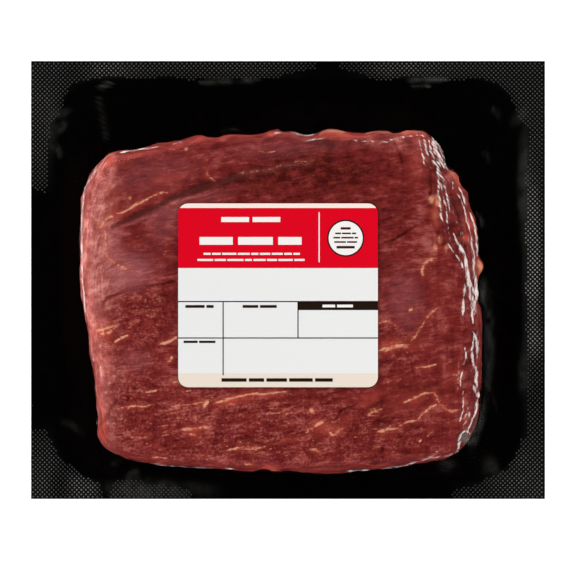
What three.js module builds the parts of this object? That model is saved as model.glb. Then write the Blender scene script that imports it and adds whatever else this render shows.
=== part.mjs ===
// A vacuum pack of raw beef: a black web formed into a shallow pocket, a thick block of lean
// beef standing in it, a clear film drawn down over both and sealed to the web's flange, and a
// printed label stuck flat on the film.
// Millimetres, +Z up. The origin is on the table under the middle of the pack, and the label's
// upper edge lies towards +Y.
import * as THREE from 'three';

// Web: a flat flange round a pocket with rounded corners
const PACK_WIDTH = 230;
const PACK_DEPTH = 196;
const WEB_THICKNESS = 0.9;
const FLANGE_LEVEL = 9;
const POCKET_WIDTH = 208;
const POCKET_DEPTH = 179;
const POCKET_CORNER = 24;
const WALL_RUN = 6;

// Beef: how high it stands, where it is widest, and how far its foot is drawn in
const BEEF_TOP = 46;
const BEEF_FOOT = WEB_THICKNESS + 0.3;
const BEEF_WIDEST_LEVEL = 16;
const BEEF_TUCK = 5;
const EDGE_DROOP = 2.2;
const PLATEAU_SHARE = 0.66;
const EDGE_SQUARENESS = 0.8;

// Film and label
const FILM_GAP = 0.8;
const FILM_THICKNESS = 0.3;
const FILM_FOOT_REACH = 8;
const LABEL_WIDTH = 88;
const LABEL_HEIGHT = 81;
const LABEL_CORNER = 4.5;
const LABEL_THICKNESS = 0.3;
const LABEL_GAP = 0.3;
const LABEL_CENTRE = new THREE.Vector2(-4.4, -6.8);

// Every ring is laid out on bearings from this point, near the middle of the beef
const MIDDLE = new THREE.Vector2(-3, -9);
const LONG_SIDE_STEPS = 20;
const SHORT_SIDE_STEPS = 16;

// The beef's outline from above, anticlockwise from its right side
const BEEF_OUTLINE = [
  [86.6, -9], [85.9, 11], [82.3, 33], [77, 45], [71.5, 52], [64.8, 61.5], [58, 66.6],
  [41, 66.8], [19, 67.2], [-1, 66.8], [-12, 65.4], [-42, 64.2], [-57, 61.2], [-73, 58],
  [-81.5, 55], [-87.7, 47.4], [-91.7, 38], [-93.3, 14], [-92.6, -4], [-88.4, -26], [-86, -45],
  [-84.6, -67], [-80, -75.2], [-66, -80.6], [-39, -83.7], [-12, -85], [23, -85.3],
  [50, -82.8], [74.5, -77.8], [83, -65], [86, -48], [86.9, -28],
];

// How far the upper edge stands in from the outline: bearing in degrees, inset in millimetres
const EDGE_INSETS = [
  [0, 7.5], [12, 10], [21, 14], [37, 8], [52, 4], [90, 3.2], [130, 5], [153, 12],
  [180, 11], [200, 8], [220, 6], [270, 5], [315, 6], [335, 6.5],
];

// The natural seam that crosses the upper part of the face, from left to right
const SEAM = [
  [-84, 24], [-73, 31], [-62, 36.5], [-52, 39], [-39, 42.5], [-21, 48], [1, 53.5], [19, 58],
];
const SEAM_DEPTH = 1.6;
const SEAM_HALF_WIDTH = 3;

// Stations along a bearing. The side stations are angles of a quarter oval in degrees
const TOP_SHARES = [0.1, 0.19, 0.28, 0.37, 0.46, 0.55, 0.62, 0.68, 0.74, 0.8, 0.86, 0.93];
const FILM_TOP_SHARES = [PLATEAU_SHARE, 0.8, 0.9];
const UPPER_SIDE_ANGLES = [90, 66, 44, 22, 0];
const LOWER_SIDE_ANGLES = [30, 58, 80];
const WALL_STATIONS = [1, 0.66, 0.33, 0];

const RAY_LENGTH = 400;
const OUTLINE_SAMPLES = 720;

const radians = THREE.MathUtils.degToRad;
const smooth = (x) => THREE.MathUtils.smoothstep(x, 0, 1);

/** Signed distance from a point to a centred rectangle with rounded corners, below 0 inside. */
function rectangleDistance(point, width, depth, corner) {
  const x = Math.abs(point.x) - width / 2 + corner;
  const y = Math.abs(point.y) - depth / 2 + corner;
  const outside = Math.hypot(Math.max(x, 0), Math.max(y, 0));
  return outside + Math.min(Math.max(x, y), 0) - corner;
}

/** The point at a distance from the middle along a bearing. */
function alongBearing(bearing, distance) {
  return new THREE.Vector2(Math.cos(bearing), Math.sin(bearing)).multiplyScalar(distance).add(MIDDLE);
}

/** Where a bearing leaves a rounded rectangle drawn in by inset. */
function rectangleReach(bearing, width, depth, corner, inset) {
  let near = 0;
  let far = RAY_LENGTH;
  while (far - near > 1e-6) {
    const half = (near + far) / 2;
    if (rectangleDistance(alongBearing(bearing, half), width, depth, corner) < -inset) {
      near = half;
    } else {
      far = half;
    }
  }
  return near;
}

const packReach = (bearing) => rectangleReach(bearing, PACK_WIDTH, PACK_DEPTH, 0, 0);
const pocketReach = (bearing, inset) =>
  rectangleReach(bearing, POCKET_WIDTH, POCKET_DEPTH, POCKET_CORNER, inset);

/** The level of the web's upper face at a share of the wall's run in from the flange. */
function wallLevel(share) {
  return THREE.MathUtils.lerp(FLANGE_LEVEL, WEB_THICKNESS, smooth(share));
}

/** The level of the web's upper face over any point. */
function webLevel(point) {
  const inside = -rectangleDistance(point, POCKET_WIDTH, POCKET_DEPTH, POCKET_CORNER);
  return wallLevel(THREE.MathUtils.clamp(inside / WALL_RUN, 0, 1));
}

/** A closed smooth curve through the beef's outline, as [bearing, distance] pairs in order. */
function outlineByBearing() {
  const knots = BEEF_OUTLINE.map(([x, y]) => new THREE.Vector3(x, y, 0));
  const curve = new THREE.CatmullRomCurve3(knots, true, 'centripetal');
  return curve.getSpacedPoints(OUTLINE_SAMPLES).slice(0, -1).map((point) => {
    const arm = new THREE.Vector2(point.x, point.y).sub(MIDDLE);
    return [arm.angle(), arm.length()];
  }).sort((a, b) => a[0] - b[0]);
}

/** Reads a closed table of [bearing, value] pairs, eased between its rows. */
function readAround(table, bearing, ease) {
  const turn = 2 * Math.PI;
  const at = ((bearing % turn) + turn) % turn;
  const next = table.findIndex((row) => row[0] > at);
  const after = next < 0 ? 0 : next;
  const before = (after - 1 + table.length) % table.length;
  const gap = ((table[after][0] - table[before][0]) % turn + turn) % turn;
  const past = ((at - table[before][0]) % turn + turn) % turn;
  return THREE.MathUtils.lerp(table[before][1], table[after][1], ease(past / gap));
}

const outlineTable = outlineByBearing();
const insetTable = EDGE_INSETS.map(([degrees, inset]) => [radians(degrees), inset]);
const outlineReach = (bearing) => readAround(outlineTable, bearing, (share) => share);
const edgeInset = (bearing) => readAround(insetTable, bearing, smooth);

/** How far the seam lowers the beef's face at a point. */
function seamDrop(point) {
  let nearest = Infinity;
  for (let i = 1; i < SEAM.length; i += 1) {
    const start = new THREE.Vector2(...SEAM[i - 1]);
    const run = new THREE.Vector2(...SEAM[i]).sub(start);
    const share = point.clone().sub(start).dot(run) / run.lengthSq();
    const foot = run.multiplyScalar(THREE.MathUtils.clamp(share, 0, 1)).add(start);
    nearest = Math.min(nearest, foot.distanceTo(point));
  }
  return SEAM_DEPTH * Math.exp(-((nearest / SEAM_HALF_WIDTH) ** 2));
}

/** The swell and hollow of the beef's sides, in millimetres outward. */
function sideSwell(bearing, level) {
  return 0.5 * Math.sin(5 * bearing + level / 9) + 0.35 * Math.sin(11 * bearing - level / 6);
}

/** The level of the beef's face at a share of the way from its middle to its upper edge. */
function faceLevel(share) {
  return BEEF_TOP - EDGE_DROOP * smooth((share - PLATEAU_SHARE) / (1 - PLATEAU_SHARE));
}

/** A point of the side's upper or lower quarter oval, as distance along the bearing and level. */
function sidePoint(bearing, degrees, inset, levelSpan) {
  const angle = radians(degrees);
  const level = BEEF_WIDEST_LEVEL + levelSpan * Math.sin(angle) ** EDGE_SQUARENESS;
  const drawnIn = inset * (1 - Math.cos(angle) ** EDGE_SQUARENESS);
  const swell = sideSwell(bearing, level) * Math.cos(angle);
  return new THREE.Vector2(outlineReach(bearing) - drawnIn + swell, level);
}

/** The beef's face and upper side along a bearing, from its middle out to its widest level. */
function upperProfile(bearing, shares) {
  const reach = outlineReach(bearing) - edgeInset(bearing);
  const face = shares.map((share) => new THREE.Vector2(share * reach, faceLevel(share)));
  const span = faceLevel(1) - BEEF_WIDEST_LEVEL;
  const side = UPPER_SIDE_ANGLES.map((angle) => sidePoint(bearing, angle, edgeInset(bearing), span));
  return [new THREE.Vector2(0, BEEF_TOP), ...face, ...side];
}

/** The whole beef along a bearing, from the middle of its underside to the middle of its face. */
function beefProfile(bearing) {
  const span = BEEF_FOOT - BEEF_WIDEST_LEVEL;
  const lower = LOWER_SIDE_ANGLES.map((angle) => sidePoint(bearing, angle, BEEF_TUCK, span));
  const footReach = outlineReach(bearing) - BEEF_TUCK * 1.3;
  const underside = [0, 0.5, 1].map((share) => new THREE.Vector2(share * footReach, BEEF_FOOT));
  const face = upperProfile(bearing, TOP_SHARES);
  face.forEach((station) => {
    const seam = station.y > BEEF_WIDEST_LEVEL ? seamDrop(alongBearing(bearing, station.x)) : 0;
    station.y -= seam;
  });
  return [...underside, ...lower.reverse(), ...face.reverse()];
}

/** Moves each point of a profile out along its own normal, to the left of its run. */
function offsetProfile(profile, distance) {
  return profile.map((point, i) => {
    const before = profile[Math.max(i - 1, 0)];
    const after = profile[Math.min(i + 1, profile.length - 1)];
    const run = after.clone().sub(before).normalize();
    const moved = new THREE.Vector2(-run.y, run.x).multiplyScalar(distance).add(point);
    return i === 0 ? new THREE.Vector2(0, point.y + distance) : moved;
  });
}

/** The web's upper face along a bearing, from its middle to the cut edge of the flange. */
function webProfile(bearing) {
  const floorReach = pocketReach(bearing, WALL_RUN);
  const wall = WALL_STATIONS.map(
    (share) => new THREE.Vector2(pocketReach(bearing, WALL_RUN * share), wallLevel(share)),
  );
  const edge = new THREE.Vector2(packReach(bearing), FLANGE_LEVEL);
  const floor = [0, 0.5].map((share) => new THREE.Vector2(share * floorReach, WEB_THICKNESS));
  return [...floor, ...wall, edge];
}

/** A sheet between two profiles that share a direction, as one loop from axis to axis. */
function sheetProfile(under, over) {
  const edge = over[over.length - 1].x;
  under[under.length - 1].x = edge;
  return [...under, ...over.reverse()];
}

/** The web as a sheet, its flat underside on the table. */
function webSheet(bearing) {
  const over = webProfile(bearing);
  return sheetProfile(offsetProfile(over, -WEB_THICKNESS), over);
}

/**
 * What the film lies on along a bearing: the beef, then the pocket, its wall and the flange.
 * Where the beef stands close to the wall, the film spans the gap instead of dipping into it.
 */
function filmBed(bearing) {
  const beef = upperProfile(bearing, FILM_TOP_SHARES);
  const widest = beef[beef.length - 1];
  const wall = WALL_STATIONS.map((share) => pocketReach(bearing, WALL_RUN * share));
  const foot = Math.min(widest.x + FILM_FOOT_REACH, wall[0] - 1);
  const bridging = 1 - smooth((wall[0] - widest.x) / FILM_FOOT_REACH);
  let reach = widest.x + FILM_GAP;
  const rest = [foot, ...wall].map((wanted) => {
    reach = Math.max(wanted, reach + FILM_GAP);
    const level = webLevel(alongBearing(bearing, reach));
    return new THREE.Vector2(reach, THREE.MathUtils.lerp(level, FLANGE_LEVEL, bridging));
  });
  const skirt = new THREE.Vector2(widest.x + 0.2, FLANGE_LEVEL + 1);
  return [...beef, skirt, ...rest, new THREE.Vector2(packReach(bearing), FLANGE_LEVEL)];
}

/** The film as a sheet that stands clear of the beef and the web. */
function filmSheet(bearing) {
  const bed = filmBed(bearing);
  const under = offsetProfile(bed, FILM_GAP);
  const over = offsetProfile(bed, FILM_GAP + FILM_THICKNESS);
  over[over.length - 1].x = packReach(bearing);
  return sheetProfile(under, over);
}

/** Bearings to evenly spaced points of the pack's edge, its corners among them. */
function packBearings(split) {
  const corners = [[1, -1], [1, 1], [-1, 1], [-1, -1]].map(
    ([x, y]) => new THREE.Vector2(x * PACK_WIDTH / 2, y * PACK_DEPTH / 2),
  );
  const bearings = corners.flatMap((corner, i) => {
    const next = corners[(i + 1) % corners.length];
    const steps = (i % 2 ? LONG_SIDE_STEPS : SHORT_SIDE_STEPS) * split;
    return Array.from({ length: steps }, (_, step) =>
      corner.clone().lerp(next, step / steps).sub(MIDDLE).angle());
  });
  return bearings.sort((a, b) => a - b);
}

/** Joins two rings with triangles that face away from the axis, each ring anticlockwise. */
function stitch(lower, upper, indices) {
  const lowerSteps = lower.length > 1 ? lower.length : 0;
  const upperSteps = upper.length > 1 ? upper.length : 0;
  let i = 0;
  let j = 0;
  const vertex = (ring, at) => ring[at % ring.length].index;
  const keyAfter = (ring, at, steps) => {
    if (at >= steps) return Infinity;
    return ring[(at + 1) % ring.length].bearing + (at + 1 === ring.length ? 2 * Math.PI : 0);
  };
  while (i < lowerSteps || j < upperSteps) {
    if (keyAfter(lower, i, lowerSteps) <= keyAfter(upper, j, upperSteps)) {
      indices.push(vertex(lower, i), vertex(lower, i + 1), vertex(upper, j));
      i += 1;
    } else {
      indices.push(vertex(lower, i), vertex(upper, j + 1), vertex(upper, j));
      j += 1;
    }
  }
}

/** How many bearings a ring skips: rings near the middle need fewer points. */
function ringStride(reach) {
  if (reach < 1e-9) return Infinity;
  return 2 ** Math.round(Math.max(0, Math.log2(75 / reach)) * 0.9);
}

/** Sweeps a profile round the bearings into one closed body. */
function profileBody(profileAt, bearings) {
  const profiles = bearings.map(profileAt);
  const positions = [];
  const indices = [];
  let previous = null;
  for (let station = 0; station < profiles[0].length; station += 1) {
    const stride = ringStride(profiles[0][station].x);
    const picked = bearings.map((_, i) => i).filter((i) => i === 0 || i % stride === 0);
    const ring = picked.map((i) => {
      const point = alongBearing(bearings[i], profiles[i][station].x);
      positions.push(point.x, point.y, profiles[i][station].y);
      return { index: positions.length / 3 - 1, bearing: bearings[i] };
    });
    if (previous) stitch(previous, ring, indices);
    previous = ring;
  }
  const geometry = new THREE.BufferGeometry();
  geometry.setAttribute('position', new THREE.Float32BufferAttribute(positions, 3));
  geometry.setIndex(indices);
  geometry.computeVertexNormals();
  return geometry;
}

/** The label: a thin sheet with rounded corners. */
function labelGeometry() {
  const left = -LABEL_WIDTH / 2;
  const right = LABEL_WIDTH / 2;
  const low = -LABEL_HEIGHT / 2;
  const high = LABEL_HEIGHT / 2;
  const outline = new THREE.Shape();
  outline.moveTo(left + LABEL_CORNER, low);
  outline.lineTo(right - LABEL_CORNER, low);
  outline.absarc(right - LABEL_CORNER, low + LABEL_CORNER, LABEL_CORNER, -Math.PI / 2, 0);
  outline.absarc(right - LABEL_CORNER, high - LABEL_CORNER, LABEL_CORNER, 0, Math.PI / 2);
  outline.absarc(left + LABEL_CORNER, high - LABEL_CORNER, LABEL_CORNER, Math.PI / 2, Math.PI);
  outline.absarc(left + LABEL_CORNER, low + LABEL_CORNER, LABEL_CORNER, Math.PI, 1.5 * Math.PI);
  return new THREE.ExtrudeGeometry(outline, {
    depth: LABEL_THICKNESS,
    bevelEnabled: false,
    curveSegments: 8,
  });
}

/** A named mesh with its own material. */
function piece(name, geometry, color, roughness, opacity = 1) {
  const material = new THREE.MeshStandardMaterial({
    color,
    roughness,
    metalness: 0,
    opacity,
    transparent: opacity < 1,
    side: THREE.FrontSide,
  });
  const mesh = new THREE.Mesh(geometry, material);
  mesh.name = name;
  return mesh;
}

const pack = new THREE.Group();
pack.add(piece('backing_web', profileBody(webSheet, packBearings(1)), 0x0b0a0a, 0.35));
pack.add(piece('beef', profileBody(beefProfile, packBearings(2)), 0x7a2f2f, 0.5));
pack.add(piece('top_film', profileBody(filmSheet, packBearings(1)), 0xe9edf0, 0.1, 0.16));

const label = piece('label', labelGeometry(), 0xd9262f, 0.55);
label.position.set(
  LABEL_CENTRE.x,
  LABEL_CENTRE.y,
  BEEF_TOP + FILM_GAP + FILM_THICKNESS + LABEL_GAP,
);
pack.add(label);

export default pack;
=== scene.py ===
"""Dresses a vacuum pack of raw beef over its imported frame.

A black thermoformed web with an embossed rim carries a thick block of lean beef. A clear film is
drawn down over both, and a printed price label lies flat on top. Lengths are named in millimetres
and turned to metres where a mesh is written.
"""

import itertools
import logging
import math
from collections.abc import Iterator
from contextlib import contextmanager
from dataclasses import dataclass
from enum import Enum

import bpy
import numpy as np
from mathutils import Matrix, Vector
from mathutils.bvhtree import BVHTree


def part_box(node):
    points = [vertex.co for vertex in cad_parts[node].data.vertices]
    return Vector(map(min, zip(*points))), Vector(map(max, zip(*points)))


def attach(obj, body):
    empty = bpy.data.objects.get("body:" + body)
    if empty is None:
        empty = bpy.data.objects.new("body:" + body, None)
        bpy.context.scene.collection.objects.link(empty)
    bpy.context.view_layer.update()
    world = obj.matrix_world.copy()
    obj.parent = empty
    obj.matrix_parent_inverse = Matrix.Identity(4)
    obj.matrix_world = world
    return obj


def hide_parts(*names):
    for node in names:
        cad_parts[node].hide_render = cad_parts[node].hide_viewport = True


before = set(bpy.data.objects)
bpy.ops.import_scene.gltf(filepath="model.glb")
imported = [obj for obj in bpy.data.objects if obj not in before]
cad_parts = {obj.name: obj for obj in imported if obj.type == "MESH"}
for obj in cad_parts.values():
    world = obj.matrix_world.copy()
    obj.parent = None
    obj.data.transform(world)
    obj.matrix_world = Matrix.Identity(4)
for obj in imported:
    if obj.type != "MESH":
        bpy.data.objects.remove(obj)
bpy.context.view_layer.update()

MM = 0.001
PACK_MIDDLE_MM = (-3.0, -9.0)
LOG = logging.getLogger("beef_pack")
Socket = bpy.types.NodeSocket
Cell = float | tuple[float, float, float]


class Slot(Enum):
    """Names of the material slots."""

    WEB = "black_web"
    BEEF = "raw_beef"
    FILM = "clear_film"
    LABEL = "printed_label"


def linear(code: str) -> tuple[float, float, float, float]:
    """Turns an sRGB hex colour into linear RGBA.

    Args:
        code: six hex digits.

    Returns:
        Linear red, green and blue, and an alpha of one.
    """
    parts = [int(code[i:i + 2], 16) / 255 for i in (0, 2, 4)]
    curve = [c / 12.92 if c <= 0.04045 else ((c + 0.055) / 1.055) ** 2.4 for c in parts]
    return (*curve, 1.0)


def feed(tree: bpy.types.NodeTree, node: bpy.types.Node, inputs: dict) -> None:
    """Gives a node's inputs their values or the sockets that they follow.

    Args:
        tree: the node tree that holds the node.
        node: the node.
        inputs: its inputs' names or numbers, with a value or a socket for each.
    """
    for name, value in inputs.items():
        if isinstance(value, Socket):
            tree.links.new(value, node.inputs[name])
        else:
            node.inputs[name].default_value = value


def add_node(tree: bpy.types.NodeTree, kind: str, inputs: dict, **settings: object
             ) -> bpy.types.Node:
    """Adds a node.

    Args:
        tree: the node tree that gets it.
        kind: its type name, without the start that all shader nodes share.
        inputs: its inputs' names or numbers, with a value or a socket for each.
        settings: its attributes.

    Returns:
        The new node.
    """
    node = tree.nodes.new("ShaderNode" + kind)
    for name, value in settings.items():
        setattr(node, name, value)
    feed(tree, node, inputs)
    return node


class Nodes:
    """The nodes of a material or a world, with short names for the kinds in use."""

    def __init__(self, owner: bpy.types.Material | bpy.types.World) -> None:
        """Opens the owner's node tree."""
        owner.use_nodes = True
        self.owner = owner
        self.tree = owner.node_tree

    @classmethod
    def of_material(cls, name: str) -> "Nodes":
        """Starts a new material under a name."""
        return cls(bpy.data.materials.new(name))

    def add(self, kind: str, result: str | int, inputs: dict, **settings: object) -> Socket:
        """Adds a node and gives the socket of its result."""
        return add_node(self.tree, kind, inputs, **settings).outputs[result]

    def give(self, node: str, inputs: dict) -> bpy.types.Material | bpy.types.World:
        """Feeds a node that the tree starts with, and gives back what owns the tree."""
        feed(self.tree, self.tree.nodes[node], inputs)
        return self.owner

    def layer(self, name: str, result: str = "Fac") -> Socket:
        """Reads what is painted on the mesh under a name."""
        return self.add("Attribute", result, {}, attribute_name=name)

    def place(self, kind: str = "Object") -> Socket:
        """Reads the coordinates of the surface."""
        return self.add("TexCoord", kind, {})

    def stretch(self, place: Socket, scale: tuple[float, float, float]) -> Socket:
        """Scales coordinates along each axis."""
        return self.add("Mapping", "Vector", {"Vector": place, "Scale": scale})

    def noise(self, place: Socket, detail: float, roughness: float = 0.5,
              distortion: float = 0.0, cell_mm: float = 1 / MM) -> Socket:
        """Adds fractal noise.

        Args:
            place: coordinates.
            detail: how many finer layers it has.
            roughness: how strong those are.
            distortion: how far it is warped.
            cell_mm: its size, where the coordinates are the mesh's own.

        Returns:
            The socket of the noise, from 0 to 1.
        """
        return self.add("TexNoise", "Fac",
                        {"Vector": place, "Scale": 1 / (cell_mm * MM), "Detail": detail,
                         "Roughness": roughness, "Distortion": distortion})

    def math(self, operation: str, *terms: Socket | float) -> Socket:
        """Joins sockets and numbers by one operation."""
        return self.add("Math", "Value", dict(enumerate(terms)), operation=operation)

    def ease(self, value: Socket, low: float, high: float, start: float = 0.0,
             end: float = 1.0, **settings: object) -> Socket:
        """Maps the span from low to high on the span from start to end, held beyond both."""
        return self.add("MapRange", "Result",
                        {"Value": value, "From Min": low, "From Max": high, "To Min": start,
                         "To Max": end}, **settings)

    def ramp(self, tone: Socket, *stops: tuple[float, str]) -> Socket:
        """Turns a tone into a colour.

        Args:
            tone: the socket of the tone.
            stops: place and hex colour of three stops, from dark to light.

        Returns:
            The socket of the colour.
        """
        node = add_node(self.tree, "ValToRGB", {"Fac": tone})
        elements = node.color_ramp.elements
        elements.new(0.5)
        for element, (place, code) in zip(elements, stops):
            element.position, element.color = place, linear(code)
        return node.outputs["Color"]

    def tint(self, share: Socket, under: object, over: object) -> Socket:
        """Lays one colour over another by a share."""
        return self.add("Mix", 2, {0: share, 6: under, 7: over}, data_type="RGBA")

    def coat(self, share: Socket, under: Socket, over: Socket) -> Socket:
        """Lays one surface over another by a share."""
        return self.add("MixShader", "Shader", {0: share, 1: under, 2: over})

    def bump(self, height: Socket, strength: float, depth_mm: float) -> Socket:
        """Bends the normal by a height."""
        return self.add("Bump", "Normal", {"Height": height, "Strength": strength,
                                           "Distance": depth_mm * MM})


def smoothstep(values: np.ndarray, low: float, high: float) -> np.ndarray:
    """Eases values from 0 at low to 1 at high."""
    share = np.clip((values - low) / (high - low), 0, 1)
    return share * share * (3 - 2 * share)


def full_circle(count: int) -> np.ndarray:
    """Even bearings all round, in radians."""
    return np.arange(count) * 2 * math.pi / count


LATTICE_SIZE = 4096
LATTICE_STEPS = np.array((73856093, 19349663, 83492791))
LATTICE_MIX = 1274126177
LAYER_SHIFT_MM = 31.7


def grain(seed: int, points: np.ndarray, cell: Cell, layers: int = 3) -> np.ndarray:
    """Reads smooth seeded noise, about -1 to 1.

    Args:
        seed: picks the pattern.
        points: rows of x, y and z in millimetres.
        cell: size of the coarsest layer, one number or one for each axis.
        layers: how many layers, each half the size and the strength of the last.

    Returns:
        One value for each point.
    """
    lattice = np.random.default_rng(seed).uniform(-1, 1, LATTICE_SIZE)
    total = np.zeros(len(points))
    for layer in range(layers):
        place = (points + LAYER_SHIFT_MM * layer) / (np.asarray(cell, float) / 2**layer)
        base = np.floor(place).astype(np.int64)
        part = place - base
        ease = part * part * (3 - 2 * part)
        level = np.zeros(len(points))
        for corner in itertools.product((0, 1), repeat=3):
            key = (base + np.array(corner)) @ LATTICE_STEPS
            key = (key ^ (key >> 13)) * LATTICE_MIX
            value = lattice[(key ^ (key >> 16)) & (LATTICE_SIZE - 1)]
            level += value * np.where(corner, ease, 1 - ease).prod(1)
        total += level / 2**layer
    return total


@dataclass(frozen=True)
class PhotoView:
    """Where the camera stood, and how the photograph's pixels fall on the pack."""

    size_px: float = 573.0
    mm_per_px: float = 0.4475
    rim_level: float = 9.0
    camera_level: float = 2500.0
    pack_middle_px: tuple[float, float] = (288.0, 280.0)

    def aim(self) -> tuple[float, float]:
        """The point of the pack under the middle of the photograph, in millimetres."""
        half = self.size_px / 2
        return ((half - self.pack_middle_px[0]) * self.mm_per_px,
                (self.pack_middle_px[1] - half) * self.mm_per_px)

    def pixels(self, points: np.ndarray) -> np.ndarray:
        """Finds where points show in the photograph.

        Args:
            points: rows of x, y and z in millimetres.

        Returns:
            Rows of pixel x and y, from the photograph's top left.
        """
        depth = (self.camera_level - points[:, 2]) / (self.camera_level - self.rim_level)
        scale = 1 / (self.mm_per_px * depth)
        aim = self.aim()
        half = self.size_px / 2
        return np.stack([half + (points[:, 0] - aim[0]) * scale,
                         half - (points[:, 1] - aim[1]) * scale], 1)

    def lens_mm(self, sensor_mm: float) -> float:
        """The focal length that frames the photograph at the rim's level."""
        field_mm = self.size_px * self.mm_per_px
        return sensor_mm * (self.camera_level - self.rim_level) / field_mm


VIEW = PhotoView()


def deselect_all() -> None:
    """Leaves object mode with nothing selected."""
    if bpy.context.object and bpy.context.object.mode != "OBJECT":
        bpy.ops.object.mode_set(mode="OBJECT")
    bpy.ops.object.select_all(action="DESELECT")


def make_active(piece: bpy.types.Object) -> None:
    """Selects one piece alone and makes it active."""
    deselect_all()
    piece.select_set(True)
    bpy.context.view_layer.objects.active = piece


@contextmanager
def editing(piece: bpy.types.Object) -> Iterator[None]:
    """Opens a mesh for edits with all of it selected, and closes it afterwards."""
    make_active(piece)
    bpy.ops.object.mode_set(mode="EDIT")
    bpy.ops.mesh.select_all(action="SELECT")
    yield
    bpy.ops.object.mode_set(mode="OBJECT")


def finish_modifier(piece: bpy.types.Object, kind: str, **settings: object) -> None:
    """Adds a modifier and applies it.

    Args:
        piece: the mesh object.
        kind: the modifier's type.
        settings: its attributes.
    """
    make_active(piece)
    modifier = piece.modifiers.new(kind.title(), kind)
    for name, value in settings.items():
        setattr(modifier, name, value)
    bpy.ops.object.modifier_apply(modifier=modifier.name)


def settle(piece: bpy.types.Object, name: str) -> bpy.types.Object:
    """Names a new piece and puts its place into its mesh.

    Args:
        piece: the object that was just made.
        name: its name from now on.

    Returns:
        The same object.
    """
    make_active(piece)
    bpy.ops.object.transform_apply(location=True, rotation=True, scale=True)
    piece.name = piece.data.name = name
    return piece


def flat_sheet(name: str, middle: tuple[float, float, float], size: tuple[float, float]
               ) -> bpy.types.Object:
    """Adds a flat rectangle.

    Args:
        name: its name.
        middle: its middle, in millimetres.
        size: its length and width, in millimetres.

    Returns:
        The rectangle.
    """
    deselect_all()
    bpy.ops.mesh.primitive_plane_add(size=1)
    bpy.context.object.scale = (size[0] * MM, size[1] * MM, 1)
    bpy.context.object.location = [value * MM for value in middle]
    return settle(bpy.context.object, name)


def split_faces(piece: bpy.types.Object, chosen: np.ndarray) -> None:
    """Cuts the faces whose corners are all chosen into four.

    Args:
        piece: the mesh object.
        chosen: one yes or no for each vertex.
    """
    with editing(piece):
        bpy.ops.mesh.select_mode(type="FACE")
        bpy.ops.mesh.select_all(action="DESELECT")
    for face in piece.data.polygons:
        face.select = bool(chosen[list(face.vertices)].all())
    bpy.ops.object.mode_set(mode="EDIT")
    bpy.ops.mesh.subdivide(number_cuts=1)
    bpy.ops.object.mode_set(mode="OBJECT")


def dress(piece: bpy.types.Object, finish: bpy.types.Material) -> None:
    """Gives a piece its material and smooth shading."""
    piece.data.materials.append(finish)
    make_active(piece)
    bpy.ops.object.shade_smooth()


def read_points(piece: bpy.types.Object) -> np.ndarray:
    """A mesh's vertices in millimetres, one row each."""
    flat = np.empty(len(piece.data.vertices) * 3)
    piece.data.vertices.foreach_get("co", flat)
    return flat.reshape(-1, 3) / MM


def write_points(piece: bpy.types.Object, points: np.ndarray) -> None:
    """Moves a mesh's vertices to rows given in millimetres."""
    piece.data.vertices.foreach_set("co", (points * MM).ravel())
    piece.data.update()


def read_normals(piece: bpy.types.Object) -> np.ndarray:
    """A mesh's vertex normals, one row each."""
    flat = np.empty(len(piece.data.vertices) * 3)
    piece.data.vertex_normals.foreach_get("vector", flat)
    return flat.reshape(-1, 3)


def paint(piece: bpy.types.Object, name: str, values: np.ndarray) -> None:
    """Stores a number or a vector for each vertex, which materials read by name."""
    kind, part = ("FLOAT", "value") if values.ndim == 1 else ("FLOAT_VECTOR", "vector")
    layer = piece.data.attributes.new(name, kind, "POINT")
    layer.data.foreach_set(part, np.asarray(values, np.float32).ravel())


def bvh_of(piece: bpy.types.Object) -> BVHTree:
    """A search tree over a mesh, in metres."""
    return BVHTree.FromPolygons([v.co.copy() for v in piece.data.vertices],
                                [tuple(p.vertices) for p in piece.data.polygons])


@dataclass(frozen=True)
class Mark:
    """A line on the beef or the film, placed by where the photograph shows it.

    Fields: its points in pixels, its half width in pixels, and how strong it is.
    """

    points: tuple[tuple[float, float], ...]
    width: float
    strength: float = 1.0

    def cover(self, pixels: np.ndarray) -> np.ndarray:
        """How fully the mark covers each place.

        Args:
            pixels: rows of pixel x and y.

        Returns:
            From 0 off the mark to its strength on its line, thinning towards both ends.
        """
        near = np.full(len(pixels), np.inf)
        along = np.zeros(len(pixels))
        lengths = [math.dist(a, b) for a, b in itertools.pairwise(self.points)]
        total = sum(lengths)
        passed = 0.0
        for (start, end), length in zip(itertools.pairwise(self.points), lengths):
            run = np.subtract(end, start)
            share = np.clip((pixels - start) @ run / max(length * length, 1e-9), 0, 1)
            gap = np.hypot(*(pixels - start - share[:, None] * run).T)
            closer = gap < near
            near = np.where(closer, gap, near)
            along = np.where(closer, (passed + share * length) / total, along)
            passed += length
        taper = np.minimum(1, np.minimum(along, 1 - along) * 5 + 0.35)
        return self.strength * np.exp(-((near / (self.width * taper)) ** 2))


@dataclass(frozen=True)
class Patch:
    """A soft oval area of the beef, the film or the rim, placed by where the photograph shows it.

    Fields: its middle and half sizes in pixels, how strong it is, and its turn in degrees.
    """

    x: float
    y: float
    reach_x: float
    reach_y: float
    strength: float = 1.0
    turn: float = 0.0

    def cover(self, pixels: np.ndarray) -> np.ndarray:
        """How fully the patch covers each place, fading over its outer part."""
        angle = math.radians(self.turn)
        across, down = (pixels - (self.x, self.y)).T
        u = (across * math.cos(angle) - down * math.sin(angle)) / self.reach_x
        v = (across * math.sin(angle) + down * math.cos(angle)) / self.reach_y
        return self.strength * np.exp(-((u * u + v * v) ** 1.5))


def cover_all(marks: tuple, pixels: np.ndarray) -> np.ndarray:
    """The strongest of several marks or patches at each place."""
    total = np.zeros(len(pixels))
    for mark in marks:
        total = np.maximum(total, mark.cover(pixels))
    return total


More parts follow.
